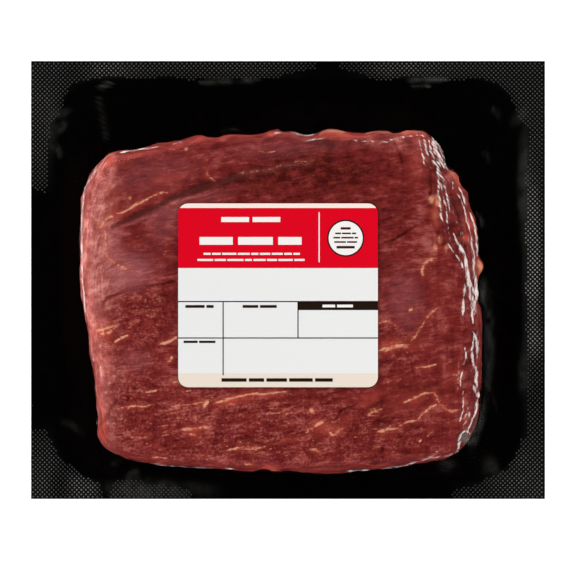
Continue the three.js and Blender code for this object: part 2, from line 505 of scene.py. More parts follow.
def sum_all(marks: tuple, pixels: np.ndarray) -> np.ndarray:
    """The sum of several marks or patches at each place."""
    return sum((mark.cover(pixels) for mark in marks), np.zeros(len(pixels)))


@dataclass(frozen=True)
class FaceEdge:
    """One stretch of the edge between the flat cut face and a side, in the photograph's pixels.

    Fields: its points, the axis that they run along (0 for x, 1 for y), which way is outside,
    and how many pixels it takes to turn from the face to the side.
    """

    points: tuple[tuple[float, float], ...]
    along: int
    outside: int
    soft: float = 2.5

    def beyond(self, pixels: np.ndarray) -> np.ndarray:
        """How fully each place lies beyond the edge, on the side."""
        run = sorted((p[self.along], p[1 - self.along]) for p in self.points)
        edge = np.interp(pixels[:, self.along], *zip(*run))
        out = (pixels[:, 1 - self.along] - edge) * self.outside
        return smoothstep(out, -self.soft, self.soft)


RIGHT_EDGE = FaceEdge(((418, 134), (422, 152), (426, 176), (429, 196), (431, 215), (438, 234),
                       (450, 252), (462, 268), (464, 290), (467, 340), (465, 400), (459, 440)),
                       1, 1)
LEFT_EDGE = FaceEdge(((114, 156), (114, 175), (112, 195), (109, 225), (108, 260), (105, 300),
                      (106, 330), (108, 360), (110, 400), (110, 425), (116, 445)), 1, -1, 9.0)
TOP_EDGE = FaceEdge(((104, 163), (130, 156), (155, 150), (175, 146), (200, 139.5), (225, 136),
                     (250, 134.5), (300, 133), (350, 132.5), (400, 133), (420, 133)), 0, -1)

# Fat and connective tissue on the face
FAT_LINES = (
    Mark(((100, 227), (106, 220), (116, 215), (127, 210), (136, 204), (146, 199.5), (155, 195.5),
          (163, 192.3), (169, 191.8)), 1.3, 0.8),
    Mark(((233, 172), (240, 173.6), (251, 172.7), (267, 169.8), (284, 164.6), (303, 161.5),
          (314, 159.8)), 1.0, 0.55),
    Mark(((206.5, 171.5), (208, 175), (211, 178), (216, 180.6)), 1.0, 0.85),
    Mark(((203.5, 161.7), (208.2, 160.2)), 0.8, 0.7),
    Mark(((258, 149.6), (262, 152), (266, 153.5), (275, 152)), 0.8, 0.6),
    Mark(((242, 173), (243.5, 173.6)), 1.3, 0.8),
    Mark(((321, 150), (327, 150)), 0.9, 0.5),
    Mark(((105.3, 232), (105.3, 242), (104.6, 252), (108, 257.5), (116.5, 264.5), (128, 269.4),
          (140, 271.5)), 1.2, 0.45),
    Mark(((167, 242), (165, 250), (162, 258)), 0.9, 0.3),
    Mark(((96.7, 331), (104, 329), (110, 327.5), (117, 326)), 2.2, 1.0),
    Mark(((100, 334), (108, 333.5), (113, 332)), 1.9, 0.95),
    Mark(((114.6, 342.5), (119.7, 338.7), (130, 335)), 1.1, 0.9),
    Mark(((144, 326.6), (154, 320.8)), 0.9, 0.6),
    Mark(((159, 345), (168, 341.5), (178, 337)), 1.4, 0.95),
    Mark(((168, 361), (170, 358.5), (171.5, 356)), 1.7, 1.0),
    Mark(((123.5, 354), (135, 353.4)), 0.7, 0.45),
    Mark(((131, 375), (133, 373.5)), 1.3, 0.6),
    Mark(((166.9, 385.3), (173, 383), (179, 381.4)), 1.0, 0.9),
    Mark(((146.5, 391.6), (156.7, 391)), 1.0, 0.8),
    Mark(((193.7, 396), (201.3, 395.5)), 1.0, 0.6),
    Mark(((121, 407.6), (131, 406.3), (142.6, 405.7), (152, 405)), 1.1, 0.75),
    Mark(((172, 406), (187.3, 404.4), (202.6, 403)), 1.1, 0.75),
    Mark(((165.6, 409.4), (184, 407), (202, 405.6)), 0.9, 0.45),
    Mark(((213.4, 403.6), (225.5, 399.8), (238, 396.6), (251, 394), (269, 394), (288, 390.8)),
         1.4, 0.8),
    Mark(((203.5, 407.5), (205.2, 404.5), (208, 402)), 1.6, 1.0),
    Mark(((182, 429.3), (195, 429), (204, 427.5), (212.8, 424.8)), 1.4, 0.9),
    Mark(((189.8, 433), (196, 435.5), (202.6, 437.6)), 1.3, 0.6),
    Mark(((192, 421), (196, 417), (201, 416)), 1.2, 0.5),
    Mark(((193, 417), (199, 422)), 1.0, 0.45),
    Mark(((161, 426), (176, 424.8)), 0.8, 0.5),
    Mark(((161, 432.4), (173, 431)), 0.8, 0.4),
    Mark(((131, 438), (140, 437), (149, 438.9)), 1.2, 0.75),
    Mark(((158, 448.5), (167, 448.5)), 0.8, 0.4),
    Mark(((151.6, 457.4), (166.9, 458)), 1.0, 0.65),
    Mark(((191, 455.4), (211, 455.4)), 0.9, 0.55),
    Mark(((377.7, 432.4), (386.6, 429.9), (395.5, 427.3), (402, 424)), 1.8, 0.9),
    Mark(((402, 424), (410, 421.5), (417.2, 419.7), (424.8, 412), (433.8, 405.6), (438.9, 402.4)),
         1.5, 0.85),
    Mark(((403, 402.4), (412, 398.6), (423.6, 393.5), (433.8, 392.2), (437, 398.6), (439.5, 403.7),
          (446.5, 408.8), (451.6, 411.4), (459.3, 408.8)), 1.5, 0.8),
    Mark(((380, 350), (393, 348.2), (402, 345.7), (410.8, 344.4)), 1.9, 1.0),
    Mark(((410.8, 342), (414, 337), (418.5, 331), (424.8, 321.5), (431, 315), (436.3, 308)),
         1.4, 0.6),
    Mark(((379, 324), (386.6, 321.5), (393, 323.4), (397.4, 327.8)), 0.9, 0.85),
    Mark(((414.6, 367.4), (421, 367.6), (427.4, 366.7), (435.7, 364.2)), 1.1, 0.85),
    Mark(((408.5, 310.3), (412.5, 310)), 1.4, 0.95),
    Mark(((435, 257.7), (428.5, 260.9), (424.2, 265.2), (423, 271), (422, 278)), 1.8, 0.75),
    Mark(((439, 243), (440, 235)), 1.7, 0.8),
    Mark(((435.5, 252), (436.6, 245)), 1.8, 0.85),
    Mark(((445.5, 253), (446, 246)), 1.7, 0.75),
    Mark(((445.5, 326.5), (448.5, 329)), 1.8, 0.75),
    Mark(((458, 361), (458.6, 376), (458.6, 391)), 1.2, 0.55),
    Mark(((451.5, 374.3), (458, 374.8)), 1.0, 0.6),
    Mark(((384, 373), (389, 372.6)), 0.7, 0.5),
    Mark(((384, 382), (396, 380.5), (406, 377.5)), 0.7, 0.4),
    Mark(((386, 389.5), (392, 387)), 0.8, 0.45),
    Mark(((426, 437), (432, 433), (435, 431.5)), 0.8, 0.5),
    Mark(((419, 441), (421, 440)), 1.2, 0.8),
    Mark(((423, 444), (428, 443)), 0.8, 0.5),
    Mark(((228, 404.5), (236, 404.5)), 0.9, 0.7),
    Mark(((263, 403), (276.5, 403)), 0.8, 0.5),
    Mark(((266, 413.4), (274, 413)), 1.0, 0.6),
    Mark(((284, 422), (289, 422)), 0.9, 0.6),
    Mark(((311, 411.5), (322, 410.5)), 0.8, 0.5),
    Mark(((305, 433), (312.5, 428), (319, 423.5), (326, 420)), 1.5, 0.95),
    Mark(((281, 440.7), (291, 441), (308, 441)), 1.1, 0.8),
    Mark(((329, 431.5), (334, 435), (343, 428.5)), 1.6, 1.0),
    Mark(((367, 410), (382, 409)), 0.8, 0.5),
    Mark(((368, 416), (380, 415)), 0.8, 0.5),
    Mark(((309, 449), (315, 451), (320, 454)), 1.2, 0.9),
    Mark(((227, 451.4), (234, 449.5), (238, 448), (251, 449.5), (264, 447)), 1.2, 0.95),
    Mark(((245, 464), (254, 464)), 1.0, 0.6),
    Mark(((236, 426.6), (242, 425.7), (255, 427.8)), 0.9, 0.7),
    Mark(((340, 444.5), (344, 446)), 0.9, 0.6),
    Mark(((311.5, 409), (312.3, 413.5)), 1.9, 1.0),
    Mark(((367, 415.5), (374, 411.5), (381, 410)), 1.2, 0.8),
    Mark(((337, 449), (346, 447)), 1.0, 0.6),
    Mark(((285, 421), (290, 424)), 1.3, 0.7),
    Mark(((147, 447), (160, 446)), 0.8, 0.5),
    Mark(((104, 372), (112, 371)), 1.0, 0.5),
    Mark(((267, 413.8), (285, 413.3), (309, 412.5)), 0.7, 0.5),
    Mark(((209, 412.5), (222, 413)), 0.8, 0.6),
    Mark(((181, 392), (192, 390.5)), 0.9, 0.5),
    Mark(((166, 414), (180, 412)), 0.8, 0.5),
    Mark(((160, 436), (176, 434)), 0.8, 0.5),
    Mark(((176, 417), (186, 419)), 1.2, 0.5),
)

# Yellow beads of firmer fat, one of them standing out from the right side, and thin strokes of
# painted rim light along the top and right edges
EDGE_BEAD = Patch(483, 266, 4.0, 6.5, 0.9)
FAT_BEADS_AND_RIM_LIGHT = (
    Patch(481, 265, 4.5, 8),
    Mark(((319, 134), (326, 131.5), (333, 130.5), (345, 133)), 1.5, 0.6),
    Mark(((366, 133.5), (382, 131.5), (395, 133), (405, 131), (415, 130), (426, 134)), 1.3, 0.45),
    Mark(((449, 170), (456, 177), (460, 186)), 1.5, 0.6),
    Mark(((464, 197), (468, 206)), 1.2, 0.4),
    Mark(((471, 213), (476, 229), (477, 237)), 1.1, 0.45),
    Mark(((268, 470.5), (275, 471)), 1.2, 0.6),
    Patch(431.5, 199.5, 3.0, 3.6, 0.75),
    Patch(437.5, 202, 2.8, 4.0, 0.85),
    Patch(435, 196.5, 4.0, 2.2, 0.5),
    Patch(436, 215, 3.0, 6.0, 0.22),
    Patch(439.5, 240, 2.2, 4.0, 0.42),
    Patch(435, 247.5, 1.8, 3.2, 0.42),
    Patch(447, 247, 2.0, 3.6, 0.42, -20),
    Patch(102, 225, 3, 4, 0.4),
    Patch(130, 198, 1.5, 1.5, 0.6),
    Patch(186, 149, 1.6, 1.6, 0.7),
    Patch(205, 404, 1.8, 3.2, 0.6, -20),
)

# The seam under the upper fat line, and cracks between fibre bundles: both sunk a little and
# painted dark, painted shade in their grooves
SEAM = Mark(((112, 226.6), (126, 221), (142, 214), (159, 207), (171, 199), (187, 193), (206, 187),
             (227, 180), (241, 175), (262, 171), (286, 166), (310, 161)), 3.6, 1.0)
SEAM_LIP = Mark(((122, 228), (136, 221), (153, 215), (167, 206), (178, 201), (195, 197.5),
                 (206, 195), (218, 190.5)), 1.5, 0.6)
CRACKS = (
    Mark(((101.8, 308), (104, 303), (107, 299), (112, 296), (120, 292.5), (132, 289), (146, 287),
          (160, 285), (176, 281)), 1.5, 0.8),
    Mark(((380.8, 221), (387, 219), (393, 216.5), (402, 214.5)), 1.0, 0.55),
    Mark(((385.2, 242.5), (393, 240), (400.4, 236), (408, 231), (416.6, 226.2)), 1.3, 1.0),
    Mark(((381, 267.5), (386, 266.4), (390.6, 265.3)), 1.1, 0.6),
    Mark(((410, 253), (418, 250)), 1.0, 0.5),
    Mark(((393, 140), (399, 152), (403, 164), (404, 176)), 1.3, 0.45),
    Mark(((107, 166), (117, 164), (130, 160), (146, 156)), 1.2, 0.5),
    Mark(((291, 437), (300, 434), (310, 433)), 1.0, 0.5),
    Mark(((332, 421.5), (337, 415.7), (344.5, 409.3), (351, 406.5), (363, 400), (369, 396.6)),
         0.9, 0.75),
    Mark(((241, 389), (241, 432)), 0.8, 0.25),
    Mark(((129, 352), (128, 402)), 0.8, 0.25),
    Mark(((256, 388), (256.4, 409)), 0.9, 0.35),
    Mark(((216.6, 428), (217, 456)), 0.9, 0.3),
    Mark(((294, 388), (294.4, 405)), 0.9, 0.3),
    Mark(((398, 432), (401, 437)), 1.6, 0.7),
    Mark(((382, 453), (383, 445)), 1.2, 0.6),
    Mark(((117, 399), (112, 408), (107, 416), (101, 424)), 1.5, 0.85),
    Mark(((142, 376), (143.5, 366)), 1.2, 0.4),
    Mark(((153, 300), (158, 296)), 1.1, 0.5),
    Mark(((428, 139), (430.5, 160), (431, 183), (429.5, 205)), 1.2, 0.45),
    Mark(((430, 214), (437, 232), (446, 246), (456, 259)), 1.2, 0.45),
    Mark(((452, 196), (458, 216), (463, 236), (467, 254)), 1.6, 0.55),
    Mark(((447, 180), (452, 200), (455, 214)), 1.4, 0.4),
)

# Areas that are darker, lighter, silvered, or brighter red than plain muscle; the lighter, silvered
# and brighter red ones also hold painted rim light, highlights and sheen
DARK_PATCHES = (
    Patch(322, 168, 82, 27, 0.85, 6),
    Patch(240, 186, 48, 14, 0.45, 16),
    Patch(138, 243, 26, 18, 0.3, 25),
    Patch(122, 236, 12, 12, -0.4),
    Patch(150, 305, 24, 12, 0.2, 5),
    Patch(420, 290, 12, 17, 0.5),
    Patch(410, 440, 26, 12, 0.3, 15),
    Patch(452, 225, 9, 26, 0.5, -18),
    Patch(400, 380, 24, 12, 0.25, 5),
    Patch(396, 215, 22, 30, 0.3),
    Patch(160, 425, 18, 16, 0.2),
    Patch(232, 444, 38, 11, 0.4),
    Patch(395, 402, 32, 6, 0.35),
    Patch(378, 414, 10, 18, 0.35),
    Patch(140, 165, 26, 7, 0.35, 12),
    Patch(412, 336, 12, 12, 0.3),
    Patch(441, 344, 7, 10, 0.45),
    Patch(190, 166, 10, 7, 0.35),
    Patch(142, 178, 15, 7, 0.35, 10),
    Patch(166, 190, 8, 8, 0.3),
    Patch(166, 213, 8, 8, 0.3),
    Patch(262, 141, 9, 6, 0.35),
    Patch(153, 454, 9, 7, 0.4),
    Patch(382, 430, 9, 7, 0.4),
    Patch(369, 407, 9, 8, 0.3),
    Patch(417, 338, 8, 11, 0.3),
    Patch(306, 462, 9, 5, -0.45),
    Patch(354, 463, 10, 5, -0.35),
    Patch(418, 168, 8, 11, -0.3),
    Patch(312, 400, 26, 6, 0.35),
    Patch(388, 422, 20, 7, 0.35),
    Patch(92, 356, 7, 16, 0.5),
    Patch(124, 286, 22, 8, -0.35),
    Patch(102, 312, 8, 10, 0.5),
    Patch(430, 392, 22, 8, 0.4),
    Patch(408, 322, 16, 9, 0.35),
    Patch(156, 260, 16, 12, 0.4),
    Patch(186, 414, 26, 12, -0.3),
    Patch(190, 390, 14, 6, -0.35),
    Patch(417, 235, 9, 52, -0.35),
    Patch(432, 240, 9, 14, -0.4),
    Patch(380, 311, 8, 11, -0.4),
    Patch(385, 152, 34, 10, -0.3),
)
# Silver skin, with painted sheen over it
SILVER_AND_SHEEN_PATCHES = (
    Patch(122, 272, 30, 19, 0.75, 6),
    Patch(166, 222, 16, 24, 0.25, -38),
    Patch(196, 202, 40, 6, 0.2, 16),
    Patch(112, 240, 10, 26, 0.45),
    Patch(150, 174, 50, 18, 0.2, 12),
    Patch(405, 300, 18, 30, 0.3, 10),
    Patch(285, 148, 60, 9, 0.2, 4),
    Patch(135, 360, 16, 12, 0.25),
)
# Pale meat, with painted highlights along the top edge and near the top right
PALE_AND_LIT_PATCHES = (
    Patch(394, 142, 46, 8, 0.5, -1),
    Patch(428, 150, 7, 12, 0.5),
    Patch(114, 262, 13, 38, 0.3),
    Patch(110, 385, 12, 36, 0.4),
    Patch(104, 430, 9, 9, -0.6),
    Patch(104, 160, 12, 13, 0.7, 30),
    Patch(92, 203, 7, 14, -0.35),
    Patch(106, 200, 7, 10, 0.35),
    Patch(94, 316, 7, 22, 0.3),
    Patch(118, 331, 7, 6, 0.35),
    Patch(117, 416, 7, 8, 0.35),
    Patch(418, 145, 7, 9, 0.35),
    Patch(453, 176, 6, 10, 0.7, -30),
    Patch(290, 133, 12, 4, 0.5),
    Patch(332, 131, 13, 3, 0.5),
    Patch(387, 132, 14, 3, 0.4),
    Patch(412, 131, 14, 4, 0.5),
    Mark(((105, 232), (104.6, 252), (108, 257.5), (116.5, 264.5), (128, 269.4), (140, 271.5)),
         2.4, 0.8),
    Mark(((121, 226), (140, 219), (160, 209), (178, 200), (196, 196), (213, 189)), 1.8, 0.6),
    Patch(430, 243, 7, 12, 0.25),
)
# Brighter red meat, with painted rim light along the top edge and the right side
EMBER_AND_RIM_LIGHT_PATCHES = (
    Patch(168, 179, 20, 5.5, 0.45, 14),
    Patch(122, 160, 16, 5, 0.4, 14),
    Patch(321, 426, 9, 5, 0.7, -30),
    Patch(160, 149, 40, 4, 0.3, 12),
    Patch(199, 138, 7, 3.5, 0.6),
    Patch(230, 136, 26, 3, 0.4, 3),
    Patch(273, 133, 10, 3.5, 0.7),
    Patch(335, 136, 36, 3.5, 0.6),
    Patch(414, 134, 14, 5, 0.7),
    Patch(111, 162, 6, 9, 0.35),
    Patch(368, 400, 12, 6, 0.6, 28),
    Patch(269, 468, 8, 4, 0.7),
    Patch(465.6, 418, 3, 6, 0.7),
    Patch(226, 402, 14, 3.5, 0.6, 8),
    Patch(195, 433, 11, 6, 0.45),
    Patch(481, 268, 6, 9, 0.9),
    Patch(458, 182, 6, 14, 0.6, -25),
    Patch(470, 225, 6, 24, 0.6, -12),
    Patch(112, 200, 8, 24, 0.3, 15),
    Patch(99, 330, 6, 12, 0.3),
    Patch(108, 345, 8, 20, 0.3, 5),
    Patch(101.5, 425, 4, 20, 0.9, 3),
    Patch(385, 345, 16, 6, 0.5, 10),
    Patch(418, 160, 10, 22, 0.3, -5),
    Patch(418, 345, 14, 10, 0.25, 20),
    Patch(436, 215, 6, 20, 0.35),
    Patch(247, 397, 26, 6, 0.4, 10),
    Patch(408, 402, 22, 7, 0.3, 18),
    Patch(440, 300, 8, 30, 0.15),
    Patch(448, 385, 8, 24, 0.15),
    Patch(335, 428, 20, 7, 0.3, 20),
)
COARSE_PATCHES = (
    Patch(148, 318, 38, 34),
    Patch(180, 430, 95, 50, 0.9, 3),
    Patch(300, 432, 95, 40),
    Patch(400, 350, 26, 30, 0.8),
    Patch(120, 380, 30, 50, 0.7),
    Patch(400, 435, 60, 24, 0.6, 12),
)

# Folds and lobes of meat round the sides, below the edge of the face
SIDE_FOLDS = (
    Mark(((434, 150), (443, 170), (448, 190), (452, 212), (460, 236), (469, 262)), 3.2, 0.5),
    Mark(((448, 170), (458, 190), (466, 212), (473, 238), (476, 258)), 3.0, 0.4),
    Mark(((470, 290), (474, 320), (476, 360), (477, 400)), 2.6, 0.5),
    Patch(455, 182, 8, 10, 0.3, -25),
    Patch(450, 164, 8, 7, -1.3, -40),
    Patch(472, 206, 8, 14, -0.9, -25),
    Patch(478, 250, 6, 9, -0.7),
    Patch(482, 290, 7, 15, -1.6),
    Patch(84, 185, 7, 12, -0.5, 20),
    Patch(80, 225, 8, 36, -0.5),
    Patch(94, 421, 7, 13, -1.2),
    Patch(112, 162, 7, 9, 0.5),
    Patch(138, 146, 15, 7, -1.3, 15),
    Patch(172, 141, 22, 6, -0.9, 15),
    Patch(213, 134, 9, 6, -1.1),
    Patch(240, 135, 20, 5, -0.4),
    Patch(273, 131, 8, 6, 0.6),
    Mark(((282, 130), (310, 130), (360, 129), (424, 129)), 6.0, -1.2),
    Patch(308, 131, 11, 7, -1.3),
    Patch(359, 130, 9, 7, -0.7),
    Patch(395, 130, 6, 7, -0.5),
    Patch(332, 130, 9, 7, 0.8),
    Patch(382, 130, 9, 7, 0.4),
    Patch(412, 130, 11, 7, 0.7),
    Patch(464, 182, 7, 8, -0.8, -20),
    Mark(((484, 296), (486, 330), (486, 380), (482, 412)), 7.0, -1.1),
    Patch(90, 372, 7, 14, -0.2),
    Patch(262, 471, 7, 6, -1.0),
    Patch(271, 472, 8, 6, -0.6),
    Patch(290, 471, 10, 6, -0.5),
    Patch(358, 472, 9, 6, -0.8),
)

# Stretches of the rim that the sealing bar pressed nearly flat, and those that it left crisp; the
# same numbers set how bright the dots' painted highlight and the film's painted sheen over the rim
# are
PRESSED_RIM = (
    Patch(36, 308, 46, 112, 1.3),
    Patch(322, 492, 118, 46, 1.3),
    Patch(330, 70, 46, 30, 0.36),
    Patch(74, 72, 16, 30, 0.2),
    Patch(60, 486, 9, 20, 0.3),
    Patch(105, 484, 7, 24, 0.5),
    Patch(543, 250, 4, 110, 0.25),
    Patch(536, 400, 16, 34, 0.16),
    Patch(520, 75, 34, 26, 0.1),
)
RAISED_RIM = (
    Patch(45, 105, 12, 22, 0.15),
    Patch(42, 168, 10, 36, 0.1),
    Patch(42, 476, 14, 36, 0.25),
    Patch(84, 486, 16, 16, 0.55),
    Patch(112, 72, 26, 12, 0.4),
    Patch(250, 72, 30, 12, 0.1),
    Patch(405, 71, 44, 12, 0.35),
    Patch(532, 262, 11, 78, 1.15),
    Patch(534, 342, 11, 14, 0.8),
    Patch(525, 480, 30, 30, 0.3),
)

# Sharp creases of the film, painted white along their folds: painted highlights where they catch
# the light
FILM_GLINT_CREASES = (
    Mark(((418, 138), (421, 149), (424, 158), (424, 164)), 0.9, 0.85),
    Mark(((424, 139), (426.5, 149), (428, 155)), 1.1, 0.9),
    Mark(((432, 140), (436, 150), (440, 160), (444, 168)), 1.3, 0.8),
    Mark(((434, 150), (437, 158), (440, 166)), 1.2, 0.8),
    Mark(((429, 140), (431.6, 153), (434, 160), (437.4, 167), (438.7, 177), (438.7, 193),
          (440, 205),
          (442, 220), (444.5, 225)), 1.2, 0.9),
    Mark(((435, 142), (438.7, 154), (443, 162), (447, 170)), 0.9, 0.8),
    Mark(((437.4, 168), (442, 178), (445, 186), (447.7, 198), (449.7, 213)), 1.0, 0.75),
    Mark(((437, 165), (440.5, 174), (444, 183), (446.5, 191)), 1.9, 0.65),
    Mark(((432, 137.5), (439, 146), (443, 156), (445.5, 165)), 0.9, 0.7),
    Mark(((440, 182), (443, 196), (446, 208), (448, 229)), 0.8, 0.6),
    Mark(((470, 213), (475, 228), (477, 243), (477, 256)), 1.2, 0.85),
    Mark(((474, 256), (474.5, 272), (476, 285), (477.5, 296)), 1.3, 0.95),
    Mark(((453.5, 234), (457, 242), (462, 249), (464.5, 257), (466.5, 265), (467, 276),
          (469.7, 288),
          (472, 298), (474, 311)), 1.6, 1.0),
    Mark(((448, 244), (454, 253), (460.6, 262), (464.5, 270)), 0.9, 0.85),
    Mark(((463, 252), (467, 262), (468.4, 278), (474, 290), (477.4, 298)), 1.3, 0.95),
    Mark(((464.5, 283), (464, 296), (463, 311), (462.8, 315)), 1.2, 0.9),
    Mark(((457, 194), (462, 200), (465, 213), (470, 230), (471.6, 244), (474, 258), (475, 271)),
         0.9, 0.8),
    Mark(((452, 182), (453, 190)), 0.9, 0.8),
    Mark(((477.4, 236), (476, 249)), 0.9, 0.7),
    Mark(((469, 290), (471, 300), (472, 312), (473.3, 324)), 1.2, 1.0),
    Mark(((477.6, 290), (477.6, 295), (475.2, 303), (475.2, 312), (473.3, 317)), 1.1, 0.9),
    Mark(((473.3, 332), (477, 341), (477.3, 350), (476.4, 358)), 1.3, 0.95),
    Mark(((472.7, 342), (472, 355), (474, 365), (476.4, 372), (476.4, 382), (477, 389)), 1.5, 0.95),
    Mark(((473.3, 386), (476.4, 393), (478.8, 397)), 1.7, 0.9),
    Mark(((477, 399), (476.4, 406), (475, 414), (471, 422), (468, 430)), 1.1, 0.9),
    Mark(((468, 408), (465, 418), (463, 426)), 0.9, 0.6),
    Mark(((459, 186), (463, 196), (467, 206)), 0.9, 0.6),
    Mark(((469.7, 411), (469, 418)), 0.9, 0.8),
    Mark(((464.2, 348), (466, 358)), 0.9, 0.85),
    Mark(((463, 370), (460.6, 382), (460.6, 387)), 0.8, 0.75),
    Mark(((463, 393), (463, 412), (459, 423)), 0.9, 0.85),
    Mark(((460.5, 433), (459, 443), (458, 451)), 1.3, 0.9),
    Mark(((461, 433), (466, 431), (470, 433)), 0.9, 0.8),
    Mark(((457.6, 452), (448, 456), (432, 457.3), (426, 459), (404, 465.8), (380, 468.8)),
          0.8, 0.45),
    Mark(((438, 451), (428.5, 457)), 0.8, 0.6),
    Mark(((400, 137.7), (408, 135.8), (417, 135.2), (426, 136.5)), 0.9, 0.6),
    Mark(((84.3, 189), (81.9, 212), (81.5, 242), (81.8, 273), (83.8, 296), (86, 316)), 0.9, 0.6),
    Mark(((84.3, 189), (89, 180), (97, 169)), 0.9, 0.55),
    Mark(((90.6, 346), (93, 357), (94, 362)), 0.8, 0.4),
    Mark(((120, 152.5), (129, 151.4), (142.7, 148.8), (151.8, 147.8), (158, 147)), 0.7, 0.6),
    Mark(((172, 144), (182, 142)), 0.8, 0.45),
    Mark(((100.5, 346), (100.8, 350)), 1.0, 0.6),
    Mark(((111.5, 354), (112.5, 356)), 1.0, 0.45),
    Mark(((100.5, 366), (101, 369)), 1.0, 0.5),
    Mark(((102.5, 407), (103, 411)), 1.0, 0.45),
    Mark(((96.5, 420), (97, 424)), 1.0, 0.4),
    Mark(((269.7, 134.5), (280.4, 133)), 0.9, 0.8),
    Mark(((299, 142), (325, 138.5), (336, 139.5), (362, 141), (386, 142), (395, 139),
          (402, 136.5)), 0.7, 0.45),
    Mark(((290, 131.5), (299, 134.5), (308, 135.7), (315, 134.5)), 0.8, 0.6),
    Mark(((225, 468.4), (234.5, 468.4)), 0.7, 0.55),
    Mark(((347, 471), (358, 470), (370, 470)), 0.7, 0.5),
    Mark(((150, 463), (167, 465.8), (190, 467.6), (212, 468)), 0.7, 0.35),
)

# Pleats of the film that stand up from the beef and the web
FILM_PLEATS = (
    Mark(((75, 95), (86, 92), (95, 90), (103, 84), (112, 79), (120, 78)), 2.0, 0.8),
    Mark(((95, 88), (100, 110), (106, 130), (112, 148)), 1.6, 0.5),
    Mark(((84, 108), (89, 118), (92, 132)), 1.4, 0.4),
    Mark(((185, 88), (210, 85), (235, 84)), 2.0, 0.4),
    Mark(((440, 95), (452, 88), (462, 78), (468, 70)), 1.8, 0.5),
    Mark(((507, 100), (515, 116), (520, 132)), 1.8, 0.6),
    Mark(((55, 428), (66, 432), (78, 438), (85, 441)), 2.2, 0.7),
    Mark(((96, 425), (90, 433), (85, 441), (82, 452), (80, 466)), 2.2, 0.7),
    Mark(((470, 440), (482, 455), (495, 470)), 2.4, 0.6),
    Mark(((455, 460), (460, 470), (462, 480)), 1.8, 0.5),
)

# Where the film lies slack over the black web and over the tent beside the beef: a grey cover,
# painted sheen where its wrinkles catch the light
FILM_SHEEN = (
    Patch(52, 131, 5, 20, 0.06),
    Patch(62, 113, 8, 4, 0.12, 20),
    Patch(61, 127, 4, 6, 0.2, -30),
    Patch(59, 152, 3, 5, 0.15, 20),
    Patch(523.5, 185, 5.5, 46, 0.15),
    Patch(524, 372, 5.5, 24, 0.12),
    Patch(518, 118, 6, 8, 0.12, -40),
    Patch(147, 490, 38, 11, 0.13),
    Patch(190, 491, 26, 8, 0.06),
    Mark(((99, 89), (105, 85), (112, 81)), 1.6, 0.3),
    Mark(((199, 83), (215, 82), (232, 81), (260, 80)), 2.4, 0.12),
    Mark(((407, 81), (420, 80), (432, 80), (447, 79.5)), 1.8, 0.22),
    Mark(((411, 87), (422, 85.5), (431, 86)), 1.4, 0.2),
    Mark(((221, 131), (233, 129.5), (244, 131)), 1.6, 0.08),
    Mark(((98, 96), (101, 112), (105, 128), (106, 141)), 2.2, 0.07),
    Mark(((483, 152), (487, 156), (490, 163)), 2.0, 0.07),
    Mark(((476, 212), (480, 219), (483, 227)), 2.4, 0.14),
    Mark(((490, 108), (497, 112), (500, 119)), 2.0, 0.06),
    Patch(483, 292, 5, 12, 0.16),
    Patch(488, 345, 6, 42, 0.11),
    Patch(478, 422, 5, 22, 0.25, -14),
    Patch(466, 438, 6, 6),
    Mark(((484, 380), (492, 392), (497, 410)), 1.6, 0.08),
    Mark(((60, 421), (72, 425), (86, 436)), 2.6, 0.07),
    Mark(((112, 466), (118, 461), (124, 458)), 2.2, 0.1),
    Mark(((127, 484), (131, 474), (136, 471), (140, 482)), 2.6, 0.14),
    Patch(447, 465, 8, 7, 0.07),
    Patch(490, 468, 8, 12, 0.08, 20),
)


# Where the film is finely creased
FILM_CRINKLED = (
    Patch(436, 165, 16, 40, 0.7, 14),
    Patch(458, 235, 16, 42, 0.7, 14),
    Patch(472, 330, 10, 66, 0.7, -2),
    Patch(468, 420, 12, 26, 0.7, -20),
)


